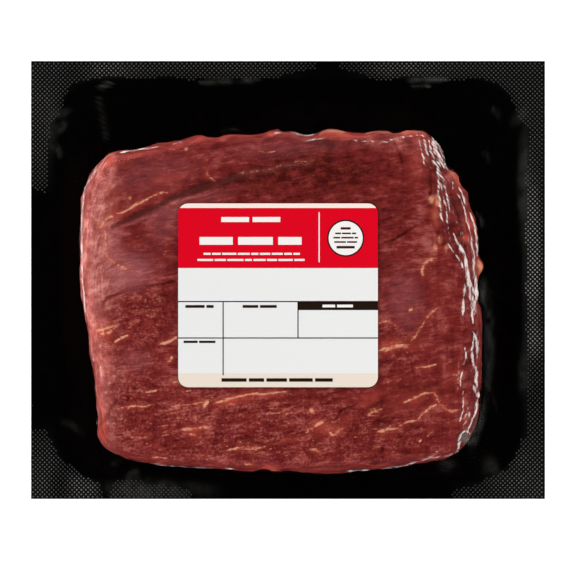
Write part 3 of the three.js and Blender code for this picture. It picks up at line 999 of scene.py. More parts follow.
@dataclass(frozen=True)
class RawLeanBeef:
    """Raw lean beef, knife cut: wet muscle fibre with threads of fat, silvered where skin lies.

    Fibre bundles under a millimetre wide break the red into streaks, pale threads run between
    them, and light goes a little way in before it comes back.
    """

    deep: str = "430F0E"
    muscle: str = "772525"
    light: str = "B4625B"
    # Painted shade in the seam's groove
    seam: str = "522321"
    # Silver skin, with painted sheen
    silver: str = "A15B5E"
    # The pale ramp: pale meat, and painted light on the left side and along the top edge
    pale_deep: str = "8C413D"
    pale: str = "B15F58"
    pale_light: str = "D68F85"
    # Brighter red, with painted rim light along the top and right edges
    ember_and_rim_light: str = "B4473A"
    warm: str = "93372A"
    fat: str = "DE9B7C"
    # Fat beads, and painted rim light along the top and right edges
    bead: str = "F0A27C"
    thread: str = "C87A60"
    grain_mm: float = 1.3
    warmth_mm: float = 3.5
    relief_mm: float = 0.25
    light_depth_mm: float = 0.9

    def build(self) -> bpy.types.Material:
        """Makes the material.

        Returns:
            A material that reads the beef's painted layers.
        """
        nodes = Nodes.of_material("raw_lean_beef_knife_cut")
        coarse, fibre, place = nodes.layer("coarse"), nodes.layer("fibre", "Vector"), nodes.place()
        streaks = nodes.noise(fibre, detail=5.0, roughness=0.68)
        strands = nodes.noise(nodes.layer("side_fibre", "Vector"), detail=4.0, roughness=0.65)
        bundles = nodes.add("Mix", 0, {0: nodes.layer("side"), 2: streaks, 3: strands},
                            data_type="FLOAT")
        grains = nodes.noise(place, detail=3.0, roughness=0.7, cell_mm=self.grain_mm)
        mottle = nodes.noise(nodes.stretch(fibre, (0.9, 0.24, 0.3)), detail=4.0, roughness=0.62)
        tone = self._tone(nodes, coarse, (bundles, grains, mottle))
        colour = nodes.ramp(tone, (0.1, self.deep), (0.5, self.muscle), (0.9, self.light))
        soft = nodes.ramp(tone, (0.28, self.pale_deep), (0.5, self.pale), (0.72, self.pale_light))
        warmth = nodes.noise(place, detail=4.0, roughness=0.62, cell_mm=self.warmth_mm)
        uneven = nodes.math("MULTIPLY_ADD", bundles, 2.4, -0.2)
        # Among these covers the seam's is painted shade in its groove; the pale, silver, brighter
        # red and bead covers lay painted rim light, highlights and sheen over the meat's own
        # colours
        covers = (
            (nodes.ease(warmth, 0.48, 0.72, end=0.42), linear(self.warm)),
            (nodes.layer("seam"), linear(self.seam)),
            (nodes.math("MULTIPLY", nodes.layer("silver"), uneven), linear(self.silver)),
            (nodes.layer("pale"), soft),
            (nodes.layer("ember_and_rim_light"), linear(self.ember_and_rim_light)),
            (self._threads(nodes, fibre, mottle, coarse), linear(self.thread)),
            (self._specks(nodes, fibre, coarse), linear(self.thread)),
            (self._broken(nodes, bundles, grains), linear(self.fat)),
            (nodes.layer("bead"), linear(self.bead)))
        for share, cover in covers:
            colour = nodes.tint(share, colour, cover)
        height = nodes.math("MULTIPLY_ADD", grains, 0.8, bundles)
        return nodes.give("Principled BSDF", {
            "Base Color": colour, "Normal": nodes.bump(height, 0.7, self.relief_mm),
            "Roughness": 0.5, "Specular IOR Level": 0.02, "Subsurface Weight": 0.06,
            "Subsurface Radius": (1.0, 0.25, 0.18), "Subsurface Scale": self.light_depth_mm * MM})

    def _tone(self, nodes: Nodes, coarse: Socket, noises: tuple[Socket, Socket, Socket]) -> Socket:
        """Adds the fibres, the grain and the mottling to the painted tone.

        Args:
            nodes: the material's nodes.
            coarse: how coarse the cut is.
            noises: the fibres, the grain of a cross cut and the slow mottling.

        Returns:
            The socket that gives the ramp its place.
        """
        total = nodes.layer("tone")
        gains_and_quiet = ((0.15, 0.62), (0.85, 0.35), (-0.1, 1.0))
        for noise, (gain, quiet) in zip(noises, gains_and_quiet):
            reach = nodes.math("MULTIPLY_ADD", coarse, gain, quiet)
            total = nodes.math("MULTIPLY_ADD", nodes.math("SUBTRACT", noise, 0.5), reach, total)
        return total

    def _threads(self, nodes: Nodes, fibre: Socket, mottle: Socket, coarse: Socket) -> Socket:
        """Draws hair-thin pale threads between the fibre bundles, where the mottling is light.

        Args:
            nodes: the material's nodes.
            fibre: coordinates along and across the fibres.
            mottle: slow noise that groups the threads.
            coarse: how coarse the cut is.

        Returns:
            The socket of the threads' cover.
        """
        lines = nodes.noise(nodes.stretch(fibre, (0.9, 0.42, 0.42)), detail=3.0, roughness=0.55)
        gap = nodes.math("ABSOLUTE", nodes.math("SUBTRACT", lines, 0.5))
        thin = nodes.ease(gap, 0.0, 0.022, start=1.0, end=0.0)
        cover = nodes.math("MULTIPLY", thin, nodes.ease(mottle, 0.47, 0.62, end=0.75))
        return nodes.math("MULTIPLY", cover, nodes.math("MULTIPLY_ADD", coarse, 0.75, 0.25))

    def _specks(self, nodes: Nodes, fibre: Socket, coarse: Socket) -> Socket:
        """Scatters short pale flecks of fat over the coarse cut, along its fibres.

        Args:
            nodes: the material's nodes.
            fibre: coordinates along and across the fibres.
            coarse: how coarse the cut is.

        Returns:
            The socket of the specks' cover.
        """
        cells = add_node(nodes.tree, "TexVoronoi",
                         {"Vector": nodes.stretch(fibre, (1.9, 0.42, 0.4)), "Scale": 1.0})
        near = nodes.ease(cells.outputs["Distance"], 0.08, 0.24, start=1.0, end=0.0)
        pick = nodes.add("SeparateColor", "Red", {"Color": cells.outputs["Color"]})
        cover = nodes.math("MULTIPLY", near, nodes.ease(pick, 0.66, 0.88, end=0.8))
        return nodes.math("MULTIPLY", cover, coarse)

    def _broken(self, nodes: Nodes, bundles: Socket, grains: Socket) -> Socket:
        """Breaks the painted fat into ragged strands.

        Args:
            nodes: the material's nodes.
            bundles: noise along the fibres.
            grains: fine noise.

        Returns:
            The socket of the fat's cover.
        """
        fat = nodes.layer("fat")
        torn = nodes.math("MULTIPLY_ADD", nodes.math("ADD", bundles, grains), 1.3, -1.3)
        cover = nodes.ease(nodes.math("ADD", torn, fat), 0.28, 0.76, end=0.95)
        return nodes.math("MULTIPLY", cover, nodes.ease(fat, 0.02, 0.2))


@dataclass(frozen=True)
class ClearVacuumFilm:
    """Clear co-extruded vacuum film, drawn down hot: glass clear, with a hard bright gloss.

    Fine creases along its stretched edges break each reflection into bright strands. Over it lie
    painted highlights, white along the painted creases, and painted sheen, grey where it lies slack
    over the web.
    """

    straight_gloss: float = 0.05
    edge_power: float = 5.0
    roughness: float = 0.05
    crease_mm: float = 0.14
    # Colours of the painted highlights and of the painted sheen
    glint_white: str = "F0DEDA"
    sheen_grey: str = "6B6D68"

    def build(self) -> bpy.types.Material:
        """Makes the material: what doesn't mirror passes straight through."""
        nodes = Nodes.of_material("clear_vacuum_film_drawn")
        nodes.tree.nodes.remove(nodes.tree.nodes["Principled BSDF"])
        crease = nodes.layer("crease", "Vector")
        folds = nodes.noise(crease, detail=1.5, roughness=0.55, distortion=0.4)
        height = nodes.math("MULTIPLY", folds, nodes.layer("crinkle"))
        gloss = nodes.add("BsdfGlossy", "BSDF", {"Roughness": self.roughness,
                                                 "Normal": nodes.bump(height, 1.0, self.crease_mm)})
        facing = nodes.add("LayerWeight", "Facing", {"Blend": 0.5})
        share = nodes.math("MULTIPLY_ADD", nodes.math("POWER", facing, self.edge_power),
                           1 - self.straight_gloss, self.straight_gloss)
        held = nodes.math("MULTIPLY", share, nodes.layer("gloss"))
        surface = nodes.coat(held, nodes.add("BsdfTransparent", "BSDF", {}), gloss)
        # Painted light over the clear film: a grey cover of painted sheen, then a white cover of
        # painted highlights
        for cover, code in ((nodes.layer("painted_sheen"), self.sheen_grey),
                            (self._painted_glints(nodes, crease), self.glint_white)):
            painted_shine = nodes.add("BsdfDiffuse", "BSDF", {"Color": linear(code)})
            surface = nodes.coat(cover, surface, painted_shine)
        return nodes.give("Material Output", {"Surface": surface})

    def _painted_glints(self, nodes: Nodes, crease: Socket) -> Socket:
        """Parts the painted highlights along the creases into bundles of hair-thin white folds.

        Args:
            nodes: the material's nodes.
            crease: coordinates along and across the creases.

        Returns:
            The socket of the folds' cover.
        """
        painted = nodes.layer("strand")
        hairs = nodes.noise(nodes.stretch(crease, (5.0, 5.0, 2.2)), detail=3.0, roughness=0.6)
        torn = nodes.math("MULTIPLY_ADD", hairs, 3.0, -1.55)
        cover = nodes.ease(nodes.math("MULTIPLY_ADD", painted, 0.85, torn), 0.12, 0.9, end=0.92)
        return nodes.math("MULTIPLY", cover, nodes.ease(painted, 0.04, 0.35))


@dataclass(frozen=True)
class FormedBlackWeb:
    """Black barrier web, thermoformed: near black, satin, with a faint orange peel."""

    colour: str = "030202"
    smoothest: float = 0.22
    roughest: float = 0.38
    peel_mm: float = 1.6
    peel_depth_mm: float = 0.05

    def build(self) -> bpy.types.Material:
        """Makes the material."""
        nodes = Nodes.of_material("black_barrier_web_thermoformed")
        peel = nodes.noise(nodes.place(), detail=2.0, cell_mm=self.peel_mm)
        worn = nodes.ease(peel, 0.0, 1.0, start=self.smoothest, end=self.roughest)
        return nodes.give("Principled BSDF", {
            "Base Color": linear(self.colour), "Specular IOR Level": 0.035, "Roughness": worn,
            "Normal": nodes.bump(peel, 0.25, self.peel_depth_mm)})


@dataclass(frozen=True)
class EmbossedWebDots:
    """The same black web where the sealing plate embossed it, its dots painted grey: a painted
    highlight on each dot.
    """

    # The grey of the painted highlight on the crispest dots
    colour: str = "A3A2A0"
    flat: str = "0C0B0B"

    def build(self) -> bpy.types.Material:
        """Makes the material: the painted highlight is greyer on dots that stand up more."""
        nodes = Nodes.of_material("black_barrier_web_embossed")
        tint = nodes.tint(nodes.layer("dot_highlight"), linear(self.flat), linear(self.colour))
        return nodes.give("Principled BSDF", {"Base Color": tint, "Roughness": 0.25})


class Ink(Enum):
    """The label's coated paper and its printed colours, as sRGB hex."""

    PAPER = "EDEDEC"
    CREAM = "EEE0D1"
    EDGE = "F8EADF"
    RED = "DE0620"
    BLACK = "22160F"
    WHITE = "F6F1EE"
    RING = "3A1216"


@dataclass(frozen=True)
class PrintedLabelPaper:
    """Coated label paper, flexo printed: flat colour with a slight sheen and a fine tooth."""

    ink: Ink = Ink.PAPER
    tooth_mm: float = 0.5
    tooth_depth_mm: float = 0.02
    dullest: float = 0.95

    def build(self) -> bpy.types.Material:
        """Makes the material of one printed colour."""
        nodes = Nodes.of_material(f"coated_label_paper_flexo_{self.ink.name.lower()}")
        tooth = nodes.noise(nodes.place(), detail=2.0, cell_mm=self.tooth_mm)
        base = linear(self.ink.value)
        dull = tuple(c * self.dullest for c in base[:3]) + (1.0,)
        return nodes.give("Principled BSDF", {
            "Base Color": nodes.tint(tooth, dull, base), "Roughness": 0.6,
            "Specular IOR Level": 0.02, "Normal": nodes.bump(tooth, 0.1, self.tooth_depth_mm)})


class BeefSkin:
    """The beef's skin, point by point: where each one lies and which part of the cut it is."""

    fibre_turn = math.radians(9)
    bundle_mm = (6.0, 1.2, 1.2)
    lanes_from_px = (412, 436)
    redder_below_px = (320, 380)

    def __init__(self, piece: bpy.types.Object) -> None:
        """Reads the skin and finds its sides, its seam, its cracks and its fat.

        Args:
            piece: the block of beef.
        """
        self.piece = piece
        self.points, self.normals = read_points(piece), read_normals(piece)
        self.pixels = VIEW.pixels(self.points)
        self.steep = 1 - smoothstep(self.normals[:, 2], 0.45, 0.93)
        self.wavy = self.pixels + np.stack([self._grain(17, 4.0), self._grain(18, 4.0)], 1)
        rough = 2 * self.wavy - self.pixels
        self.right, self.top = RIGHT_EDGE.beyond(rough), TOP_EDGE.beyond(rough)
        rough[:, 0] += 4.0 * self._grain(31, 13.0)
        self.left = LEFT_EDGE.beyond(rough)
        sides = [0.25 * self.steep, self.right, self.left, self.top]
        self.side = np.clip(np.maximum.reduce(sides), 0, 1)
        self.seam = SEAM.cover(self.wavy)
        self.cracks = cover_all(CRACKS, self.wavy)
        self.fat = cover_all(FAT_LINES, self.wavy) * (0.8 + 0.35 * self._grain(8, 1.3, 1)
                                                      + 0.4 * self._grain(29, 4.5, 1))
        self.coarse = np.clip(sum_all(COARSE_PATCHES, self.pixels) * (1 - self.side), 0, 1)
        self.fibre = self._fibre_space()

    def _grain(self, seed: int, cell: Cell, layers: int = 3) -> np.ndarray:
        """Reads noise over the skin."""
        return grain(seed, self.points, cell, layers)

    def raise_relief(self) -> None:
        """Raises the fibres and the fat, and sinks the cracks."""
        bundle = grain(5, self.fibre * self.bundle_mm, self.bundle_mm)
        crumb = self._grain(6, 1.7, 2)
        relief = 0.10 * bundle + 0.12 * self.coarse * crumb - 0.3 * self.cracks + 0.08 * self.fat
        self.points += self.normals * np.clip(relief, -0.45, 0.3)[:, None]
        write_points(self.piece, self.points)

    def paint_layers(self) -> None:
        """Stores the layers that the beef's material reads."""
        # The seam layer is painted shade; the pale, silver, brighter red and bead layers hold
        # painted light as well as the meat's own colours
        layers = {"tone": self._tone(), "silver": self._silver_and_sheen(), "pale": self._pale_and_lit(),
                  "ember_and_rim_light": self._ember_and_rim_light(), "seam": np.clip(0.85 * self.seam, 0, 1),
                  "fat": np.clip(self.fat, 0, 1), "bead": self._bead_and_rim_light(), "coarse": self.coarse,
                  "side": self.side, "fibre": self.fibre, "side_fibre": self._side_space()}
        for name, values in layers.items():
            paint(self.piece, name, values)

    def _shown(self) -> np.ndarray:
        """How far each point lies above the hidden lower part of the sides."""
        return smoothstep(self.points[:, 2], 20, 30)

    def _tone(self) -> np.ndarray:
        """How light the muscle is, with painted shade in its seam and cracks, on its right side and
        on the slopes that face the bottom of the picture.
        """
        # Painted shade: darker in the seam's groove and in the cracks
        tone = 0.49 - 0.35 * sum_all(DARK_PATCHES, self.pixels) - 0.45 * self.seam
        tone -= 0.5 * self.cracks
        # Painted shade: darker on the right side and on steep slopes that face the bottom of the
        # picture, turned from the light
        tone -= 0.1 * self.right + 0.15 * self.steep * smoothstep(-self.normals[:, 1], 0.1, 0.6)
        lanes = smoothstep(self.pixels[:, 0], *self.lanes_from_px)
        tone += 0.1 * lanes * self._grain(33, (1.3, 14.0, 14.0), 2)
        return tone + 0.11 * self._grain(7, 6.0)

    def _silver_and_sheen(self) -> np.ndarray:
        """Where silver skin and painted sheen lie: in patches beside the seam, and on the seam's
        lip.
        """
        silver = sum_all(SILVER_AND_SHEEN_PATCHES, self.pixels) * (1 - self.side) * (1 - 0.8 * self.seam)
        return np.clip(np.maximum(silver, 0.7 * SEAM_LIP.cover(self.wavy)), 0, 0.8)

    def _pale_and_lit(self) -> np.ndarray:
        """Where the meat is pale, in strands, with painted light: most of all on its left side,
        which faces the light, and along its top edge.
        """
        strand = 0.85 + 0.4 * self._grain(14, (1.6, 6.0, 5.0)) + 0.4 * self._grain(30, 7.0, 2)
        low = smoothstep(self.pixels[:, 1], *self.redder_below_px)
        # Painted light: the left side, which faces the light, and the top and right edges
        pale = self.left * (0.9 - 0.3 * low) + 0.05 * self.top + 0.08 * self.right
        return np.clip((pale + sum_all(PALE_AND_LIT_PATCHES, self.pixels)) * strand, 0, 1)

    def _ember_and_rim_light(self) -> np.ndarray:
        """Where the red is brighter: in patches, some of them painted rim light along the top and
        right edges, and in a halo round each line of fat.
        """
        uneven = (0.4 + 0.8 * self.side) * self._grain(9, 3.0)
        ember_and_rim_light = sum_all(EMBER_AND_RIM_LIGHT_PATCHES, self.pixels) * (0.8 + uneven)
        halo = tuple(Mark(m.points, m.width * 2.6, 0.55 * m.strength) for m in FAT_LINES)
        ember_and_rim_light += cover_all(halo, self.wavy) * (0.8 + 0.6 * self._grain(13, 2.0, 1))
        return np.clip(ember_and_rim_light * self._shown(), 0, 0.9)

    def _bead_and_rim_light(self) -> np.ndarray:
        """Where ragged beads of firm fat lie, and painted rim light along the top and right edges.
        """
        ragged = 0.8 + 0.6 * self._grain(15, 1.2, 2)
        ragged += 0.9 * self.steep * self._grain(34, (3.0, 3.0, 4.0), 2)
        strip = self._shown() * (1 - 0.7 * self.steep * smoothstep(self.points[:, 2], 30, 38))
        return np.clip(cover_all(FAT_BEADS_AND_RIM_LIGHT, self.pixels) * ragged * strip, 0, 0.95)

    def _fibre_space(self) -> np.ndarray:
        """Lays coordinates over the face, in fibre lengths and widths.

        Returns:
            Rows of place along, across and through the fibres.
        """
        cos, sin = math.cos(self.fibre_turn), math.sin(self.fibre_turn)
        x, y, z = self.points.T
        across = y * cos - x * sin + 1.6 * self._grain(4, 22.0, 2)
        return np.stack([(x * cos + y * sin) / 6.0, across / 0.75, z / 1.5], 1)

    def _side_space(self) -> np.ndarray:
        """Lays coordinates round the sides, along the strands that run beside the face's edge."""
        across = self.points[:, :2] - PACK_MIDDLE_MM
        reach = np.hypot(*across.T)
        warp = 1.2 * self._grain(16, 16.0, 2)
        ring = 12.0 * across / reach[:, None]
        return np.column_stack([ring, (reach - self.points[:, 2] + warp) / 0.9])


@dataclass
class BeefBlock:
    """The block of beef: a thick slab with a flat cut face, rounded sides and uneven edges."""

    cuts: int = 60
    voxel_mm: float = 1.15
    swell_mm: float = 0.45
    groove_mm: float = 0.25
    fold_mm: float = 1.3
    bead_mm: float = 1.8
    label_keep_mm: float = 6.0
    underside_mm: float = 0.5

    def build(self, finish: bpy.types.Material) -> bpy.types.Object:
        """Models and paints the beef.

        Args:
            finish: the beef's material.

        Returns:
            The finished piece.
        """
        piece = self._rough_block()
        self._broad_forms(piece)
        self.bed = bvh_of(piece)
        self._refine_face(piece)
        skin = BeefSkin(piece)
        skin.raise_relief()
        skin.paint_layers()
        self.skin = bvh_of(piece)
        self._flat_underside(piece)
        dress(piece, finish)
        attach(piece, "root")
        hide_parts("beef")
        return piece

    def _rough_block(self) -> bpy.types.Object:
        """Adds a cube, cuts it finely, wraps it on the block's solid and evens its faces."""
        low, high = (Vector(corner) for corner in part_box("beef"))
        deselect_all()
        bpy.ops.mesh.primitive_cube_add(size=1, location=(low + high) / 2, scale=high - low)
        piece = settle(bpy.context.object, "beef_block")
        with editing(piece):
            bpy.ops.mesh.subdivide(number_cuts=self.cuts)
        finish_modifier(piece, "SHRINKWRAP", target=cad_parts["beef"],
                        wrap_method="NEAREST_SURFACEPOINT")
        finish_modifier(piece, "REMESH", mode="VOXEL", voxel_size=self.voxel_mm * MM)
        finish_modifier(piece, "SMOOTH", factor=0.5, iterations=5)
        return piece

    def _broad_forms(self, piece: bpy.types.Object) -> None:
        """Adds the slow swells, the seam's groove, the folds of the sides and the edge's bead."""
        points, normals = read_points(piece), read_normals(piece)
        pixels = VIEW.pixels(points)
        side = 1 - smoothstep(normals[:, 2], 0.3, 0.9)
        rise = grain(3, points, 17.0) * self.swell_mm * (0.35 + side)
        rise += grain(19, points, (4.0, 4.0, 9.0), 2) * 0.22 * side
        rise -= self.groove_mm * SEAM.cover(pixels)
        rise += sum_all(SIDE_FOLDS, pixels) * self.fold_mm
        rise += EDGE_BEAD.cover(pixels) * self.bead_mm
        write_points(piece, points + normals * rise[:, None])

    def _refine_face(self, piece: bpy.types.Object) -> None:
        """Splits the faces that show from above once more, outside the label."""
        points = read_points(piece)
        low, high = (np.array(corner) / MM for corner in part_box("label"))
        inside = np.all((points[:, :2] > low[:2] + self.label_keep_mm)
                        & (points[:, :2] < high[:2] - self.label_keep_mm), 1)
        split_faces(piece, (read_normals(piece)[:, 2] > 0.45) & ~inside)

    def _flat_underside(self, piece: bpy.types.Object) -> None:
        """Cuts the hidden underside flat and closes it with one face."""
        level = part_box("beef")[0][2] + self.underside_mm * MM
        with editing(piece):
            bpy.ops.mesh.bisect(plane_co=(0, 0, level), plane_no=(0, 0, 1), use_fill=True,
                                clear_inner=True)


@dataclass
class BackingWeb:
    """The black web: a flat rim with embossed dots, drawn down gently round the beef."""

    beef: BeefBlock
    size_mm: tuple[float, float] = (230.0, 196.0)
    pocket_mm: tuple[float, float] = (208.0, 179.0)
    corner_mm: float = 24.0
    bearings: int = 720
    widest_level: float = 16.0
    least_room_mm: float = 2.0
    deepest_dip_mm: float = 3.0
    dip_share: float = 0.2
    tuck_mm: float = 4.5
    thickness_mm: float = 0.9
    rim_level: float = 9.0
    step_mm: float = 1.3
    smooth_below: float = math.radians(50)
    dot_pitch_mm: float = 2.05
    dot_radius_mm: float = 0.37
    dot_height_mm: float = 0.22
    least_dot: float = 0.08
    crispest_dot: float = 1.6
    dotted_side_mm: float = 8.0
    dotted_corner_mm: float = 28.0

    def __post_init__(self) -> None:
        """Measures the beef's outline and the pocket's edge on a ring of bearings."""
        self.turns = full_circle(self.bearings)
        self.outline = np.array([self._outline_reach(angle) for angle in self.turns])
        self.edge = np.array([self.edge_reach(angle) for angle in self.turns])

    def _outline_reach(self, angle: float) -> float:
        """How far the beef reaches on a bearing, at its widest level."""
        way = Vector((math.cos(angle), math.sin(angle), 0))
        start = Vector((*PACK_MIDDLE_MM, self.widest_level)) + way * 150
        place, _, _, _ = self.beef.bed.ray_cast(start * MM, -way)
        return math.dist(Vector(place).xy / MM, PACK_MIDDLE_MM)

    def edge_reach(self, angle: float) -> float:
        """Where a bearing crosses the pocket's edge."""
        near, far = 0.0, 200.0
        while far - near > 1e-3:
            half = (near + far) / 2
            x = PACK_MIDDLE_MM[0] + half * math.cos(angle)
            y = PACK_MIDDLE_MM[1] + half * math.sin(angle)
            inside = float(self.inside_distance(np.array(x), np.array(y))) > 0
            near, far = (half, far) if inside else (near, half)
        return near

    def inside_distance(self, x: np.ndarray, y: np.ndarray) -> np.ndarray:
        """How far places lie inside the pocket's edge, in millimetres."""
        u = np.abs(x) - self.pocket_mm[0] / 2 + self.corner_mm
        v = np.abs(y) - self.pocket_mm[1] / 2 + self.corner_mm
        outside = np.hypot(np.maximum(u, 0), np.maximum(v, 0))
        return self.corner_mm - outside - np.minimum(np.maximum(u, v), 0)

    def level(self, x: np.ndarray, y: np.ndarray) -> np.ndarray:
        """The level of the web's upper face over places.

        Args:
            x: places along the long side, in millimetres.
            y: places along the short side.

        Returns:
            The rim's level outside the pocket, a shallow dip beside the beef, the floor under it.
        """
        across, up = x - PACK_MIDDLE_MM[0], y - PACK_MIDDLE_MM[1]
        reach = np.hypot(across, up)
        turn = np.arctan2(up, across)
        outline = np.interp(turn, self.turns, self.outline, period=2 * math.pi)
        edge = np.interp(turn, self.turns, self.edge, period=2 * math.pi)
        room = np.maximum(edge - outline, self.least_room_mm)
        dip = np.minimum(self.deepest_dip_mm, self.dip_share * room)
        dipped = self.rim_level - dip * smoothstep((edge - reach) / room, 0, 1)
        under = smoothstep((outline - reach) / self.tuck_mm, 0, 1)
        return dipped + (self.thickness_mm - dipped) * under

    def build(self, finish: bpy.types.Material, dot_finish: bpy.types.Material
              ) -> list[bpy.types.Object]:
        """Models the sheet and its dots.

        Args:
            finish: the sheet's material.
            dot_finish: the dots' material.

        Returns:
            The sheet and the dots.
        """
        sheet, dots = self._sheet(), self._dots()
        for piece, material in ((sheet, finish), (dots, dot_finish)):
            dress(piece, material)
            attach(piece, "root")
            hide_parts("backing_web")
        make_active(sheet)
        bpy.ops.object.shade_smooth_by_angle(angle=self.smooth_below)
        return [sheet, dots]

    def _sheet(self) -> bpy.types.Object:
        """Forms a fine grid down into the pocket and gives it its thickness."""
        deselect_all()
        cuts = [round(side / self.step_mm) for side in self.size_mm]
        bpy.ops.mesh.primitive_grid_add(x_subdivisions=cuts[0], y_subdivisions=cuts[1], size=1)
        bpy.context.object.scale = (self.size_mm[0] * MM, self.size_mm[1] * MM, 1)
        piece = settle(bpy.context.object, "web_sheet")
        points = read_points(piece)
        points[:, 2] = self.level(points[:, 0], points[:, 1])
        write_points(piece, points)
        finish_modifier(piece, "SOLIDIFY", thickness=self.thickness_mm * MM, offset=-1.0)
        points = read_points(piece)
        points[:, 2] = np.maximum(points[:, 2], 0)
        write_points(piece, points)
        return piece

    def _dots(self) -> bpy.types.Object:
        """Models one embossed dot and copies it over the rim in staggered rows."""
        deselect_all()
        bpy.ops.mesh.primitive_uv_sphere_add(segments=8, ring_count=4, radius=1)
        with editing(bpy.context.object):
            bpy.ops.mesh.bisect(plane_co=(0, 0, 0), plane_no=(0, 0, 1), clear_inner=True)
        piece = settle(bpy.context.object, "web_rim_dots")
        shape = read_points(piece) * MM
        faces = [tuple(face.vertices) for face in piece.data.polygons]
        places = self._dot_places()
        strength = self._dot_strength(places)
        kept = strength > self.least_dot
        places, strength = places[kept], strength[kept]
        scale = np.array((self.dot_radius_mm, self.dot_radius_mm, self.dot_height_mm))
        points = [shape * scale * (1, 1, min(1, 0.4 + s)) + (x, y, self.rim_level)
                  for (x, y), s in zip(places, strength)]
        count = len(shape)
        copies = [tuple(v + i * count for v in f) for i in range(len(places)) for f in faces]
        mesh = bpy.data.meshes.new("web_rim_dots")
        mesh.from_pydata((np.concatenate(points) * MM).tolist(), [], copies)
        piece.data = mesh
        # Painted highlight: each dot's grey follows how crisp and how brightly lit its stretch of
        # rim is
        paint(piece, "dot_highlight", np.repeat((strength / self.crispest_dot) ** 1.7, count))
        return piece

    def _dot_places(self) -> np.ndarray:
        """The middles of the dots: two square lattices, one set between the other."""
        half = np.array(self.size_mm) / 2
        pitch = self.dot_pitch_mm
        grids = []
        for shift in (0.0, pitch / 2):
            x, y = (np.arange(-side + shift + pitch / 2, side - 0.6, pitch) for side in half)
            grids.append(np.stack(np.meshgrid(x, y), -1).reshape(-1, 2))
        places = np.concatenate(grids)
        ragged = 1.2 * grain(28, np.column_stack([places, np.zeros(len(places))]), 11.0, 2)
        from_side = half[0] - np.abs(places[:, 0]) + ragged
        straight = np.abs(places[:, 1]) + 3 * ragged < half[1] - self.dotted_corner_mm
        dotted = self.inside_distance(*places.T) + ragged < -0.8
        return places[dotted & ~(straight & (from_side > self.dotted_side_mm))]

    def rim_crispness_and_shine(self, pixels: np.ndarray) -> np.ndarray:
        """How crisp the sealing bar left the rim at places in the photograph, which also sets how
        bright its painted highlights and painted sheen are.
        """
        crisp = 0.42 + sum_all(RAISED_RIM, pixels) - sum_all(PRESSED_RIM, pixels)
        return np.clip(crisp, 0, self.crispest_dot)

    def _dot_strength(self, places: np.ndarray) -> np.ndarray:
        """How far each dot stands up and how grey its painted highlight is: the seal pressed them
        flatter in some stretches.
        """
        flat = np.column_stack([places, np.full(len(places), self.rim_level)])
        strength = self.rim_crispness_and_shine(VIEW.pixels(flat))
        strength -= 0.3 * smoothstep(self.inside_distance(*places.T), -5.0, -1.0)
        return np.clip(strength * (1 + 0.25 * grain(12, flat, 5.0, 1)), 0, self.crispest_dot)


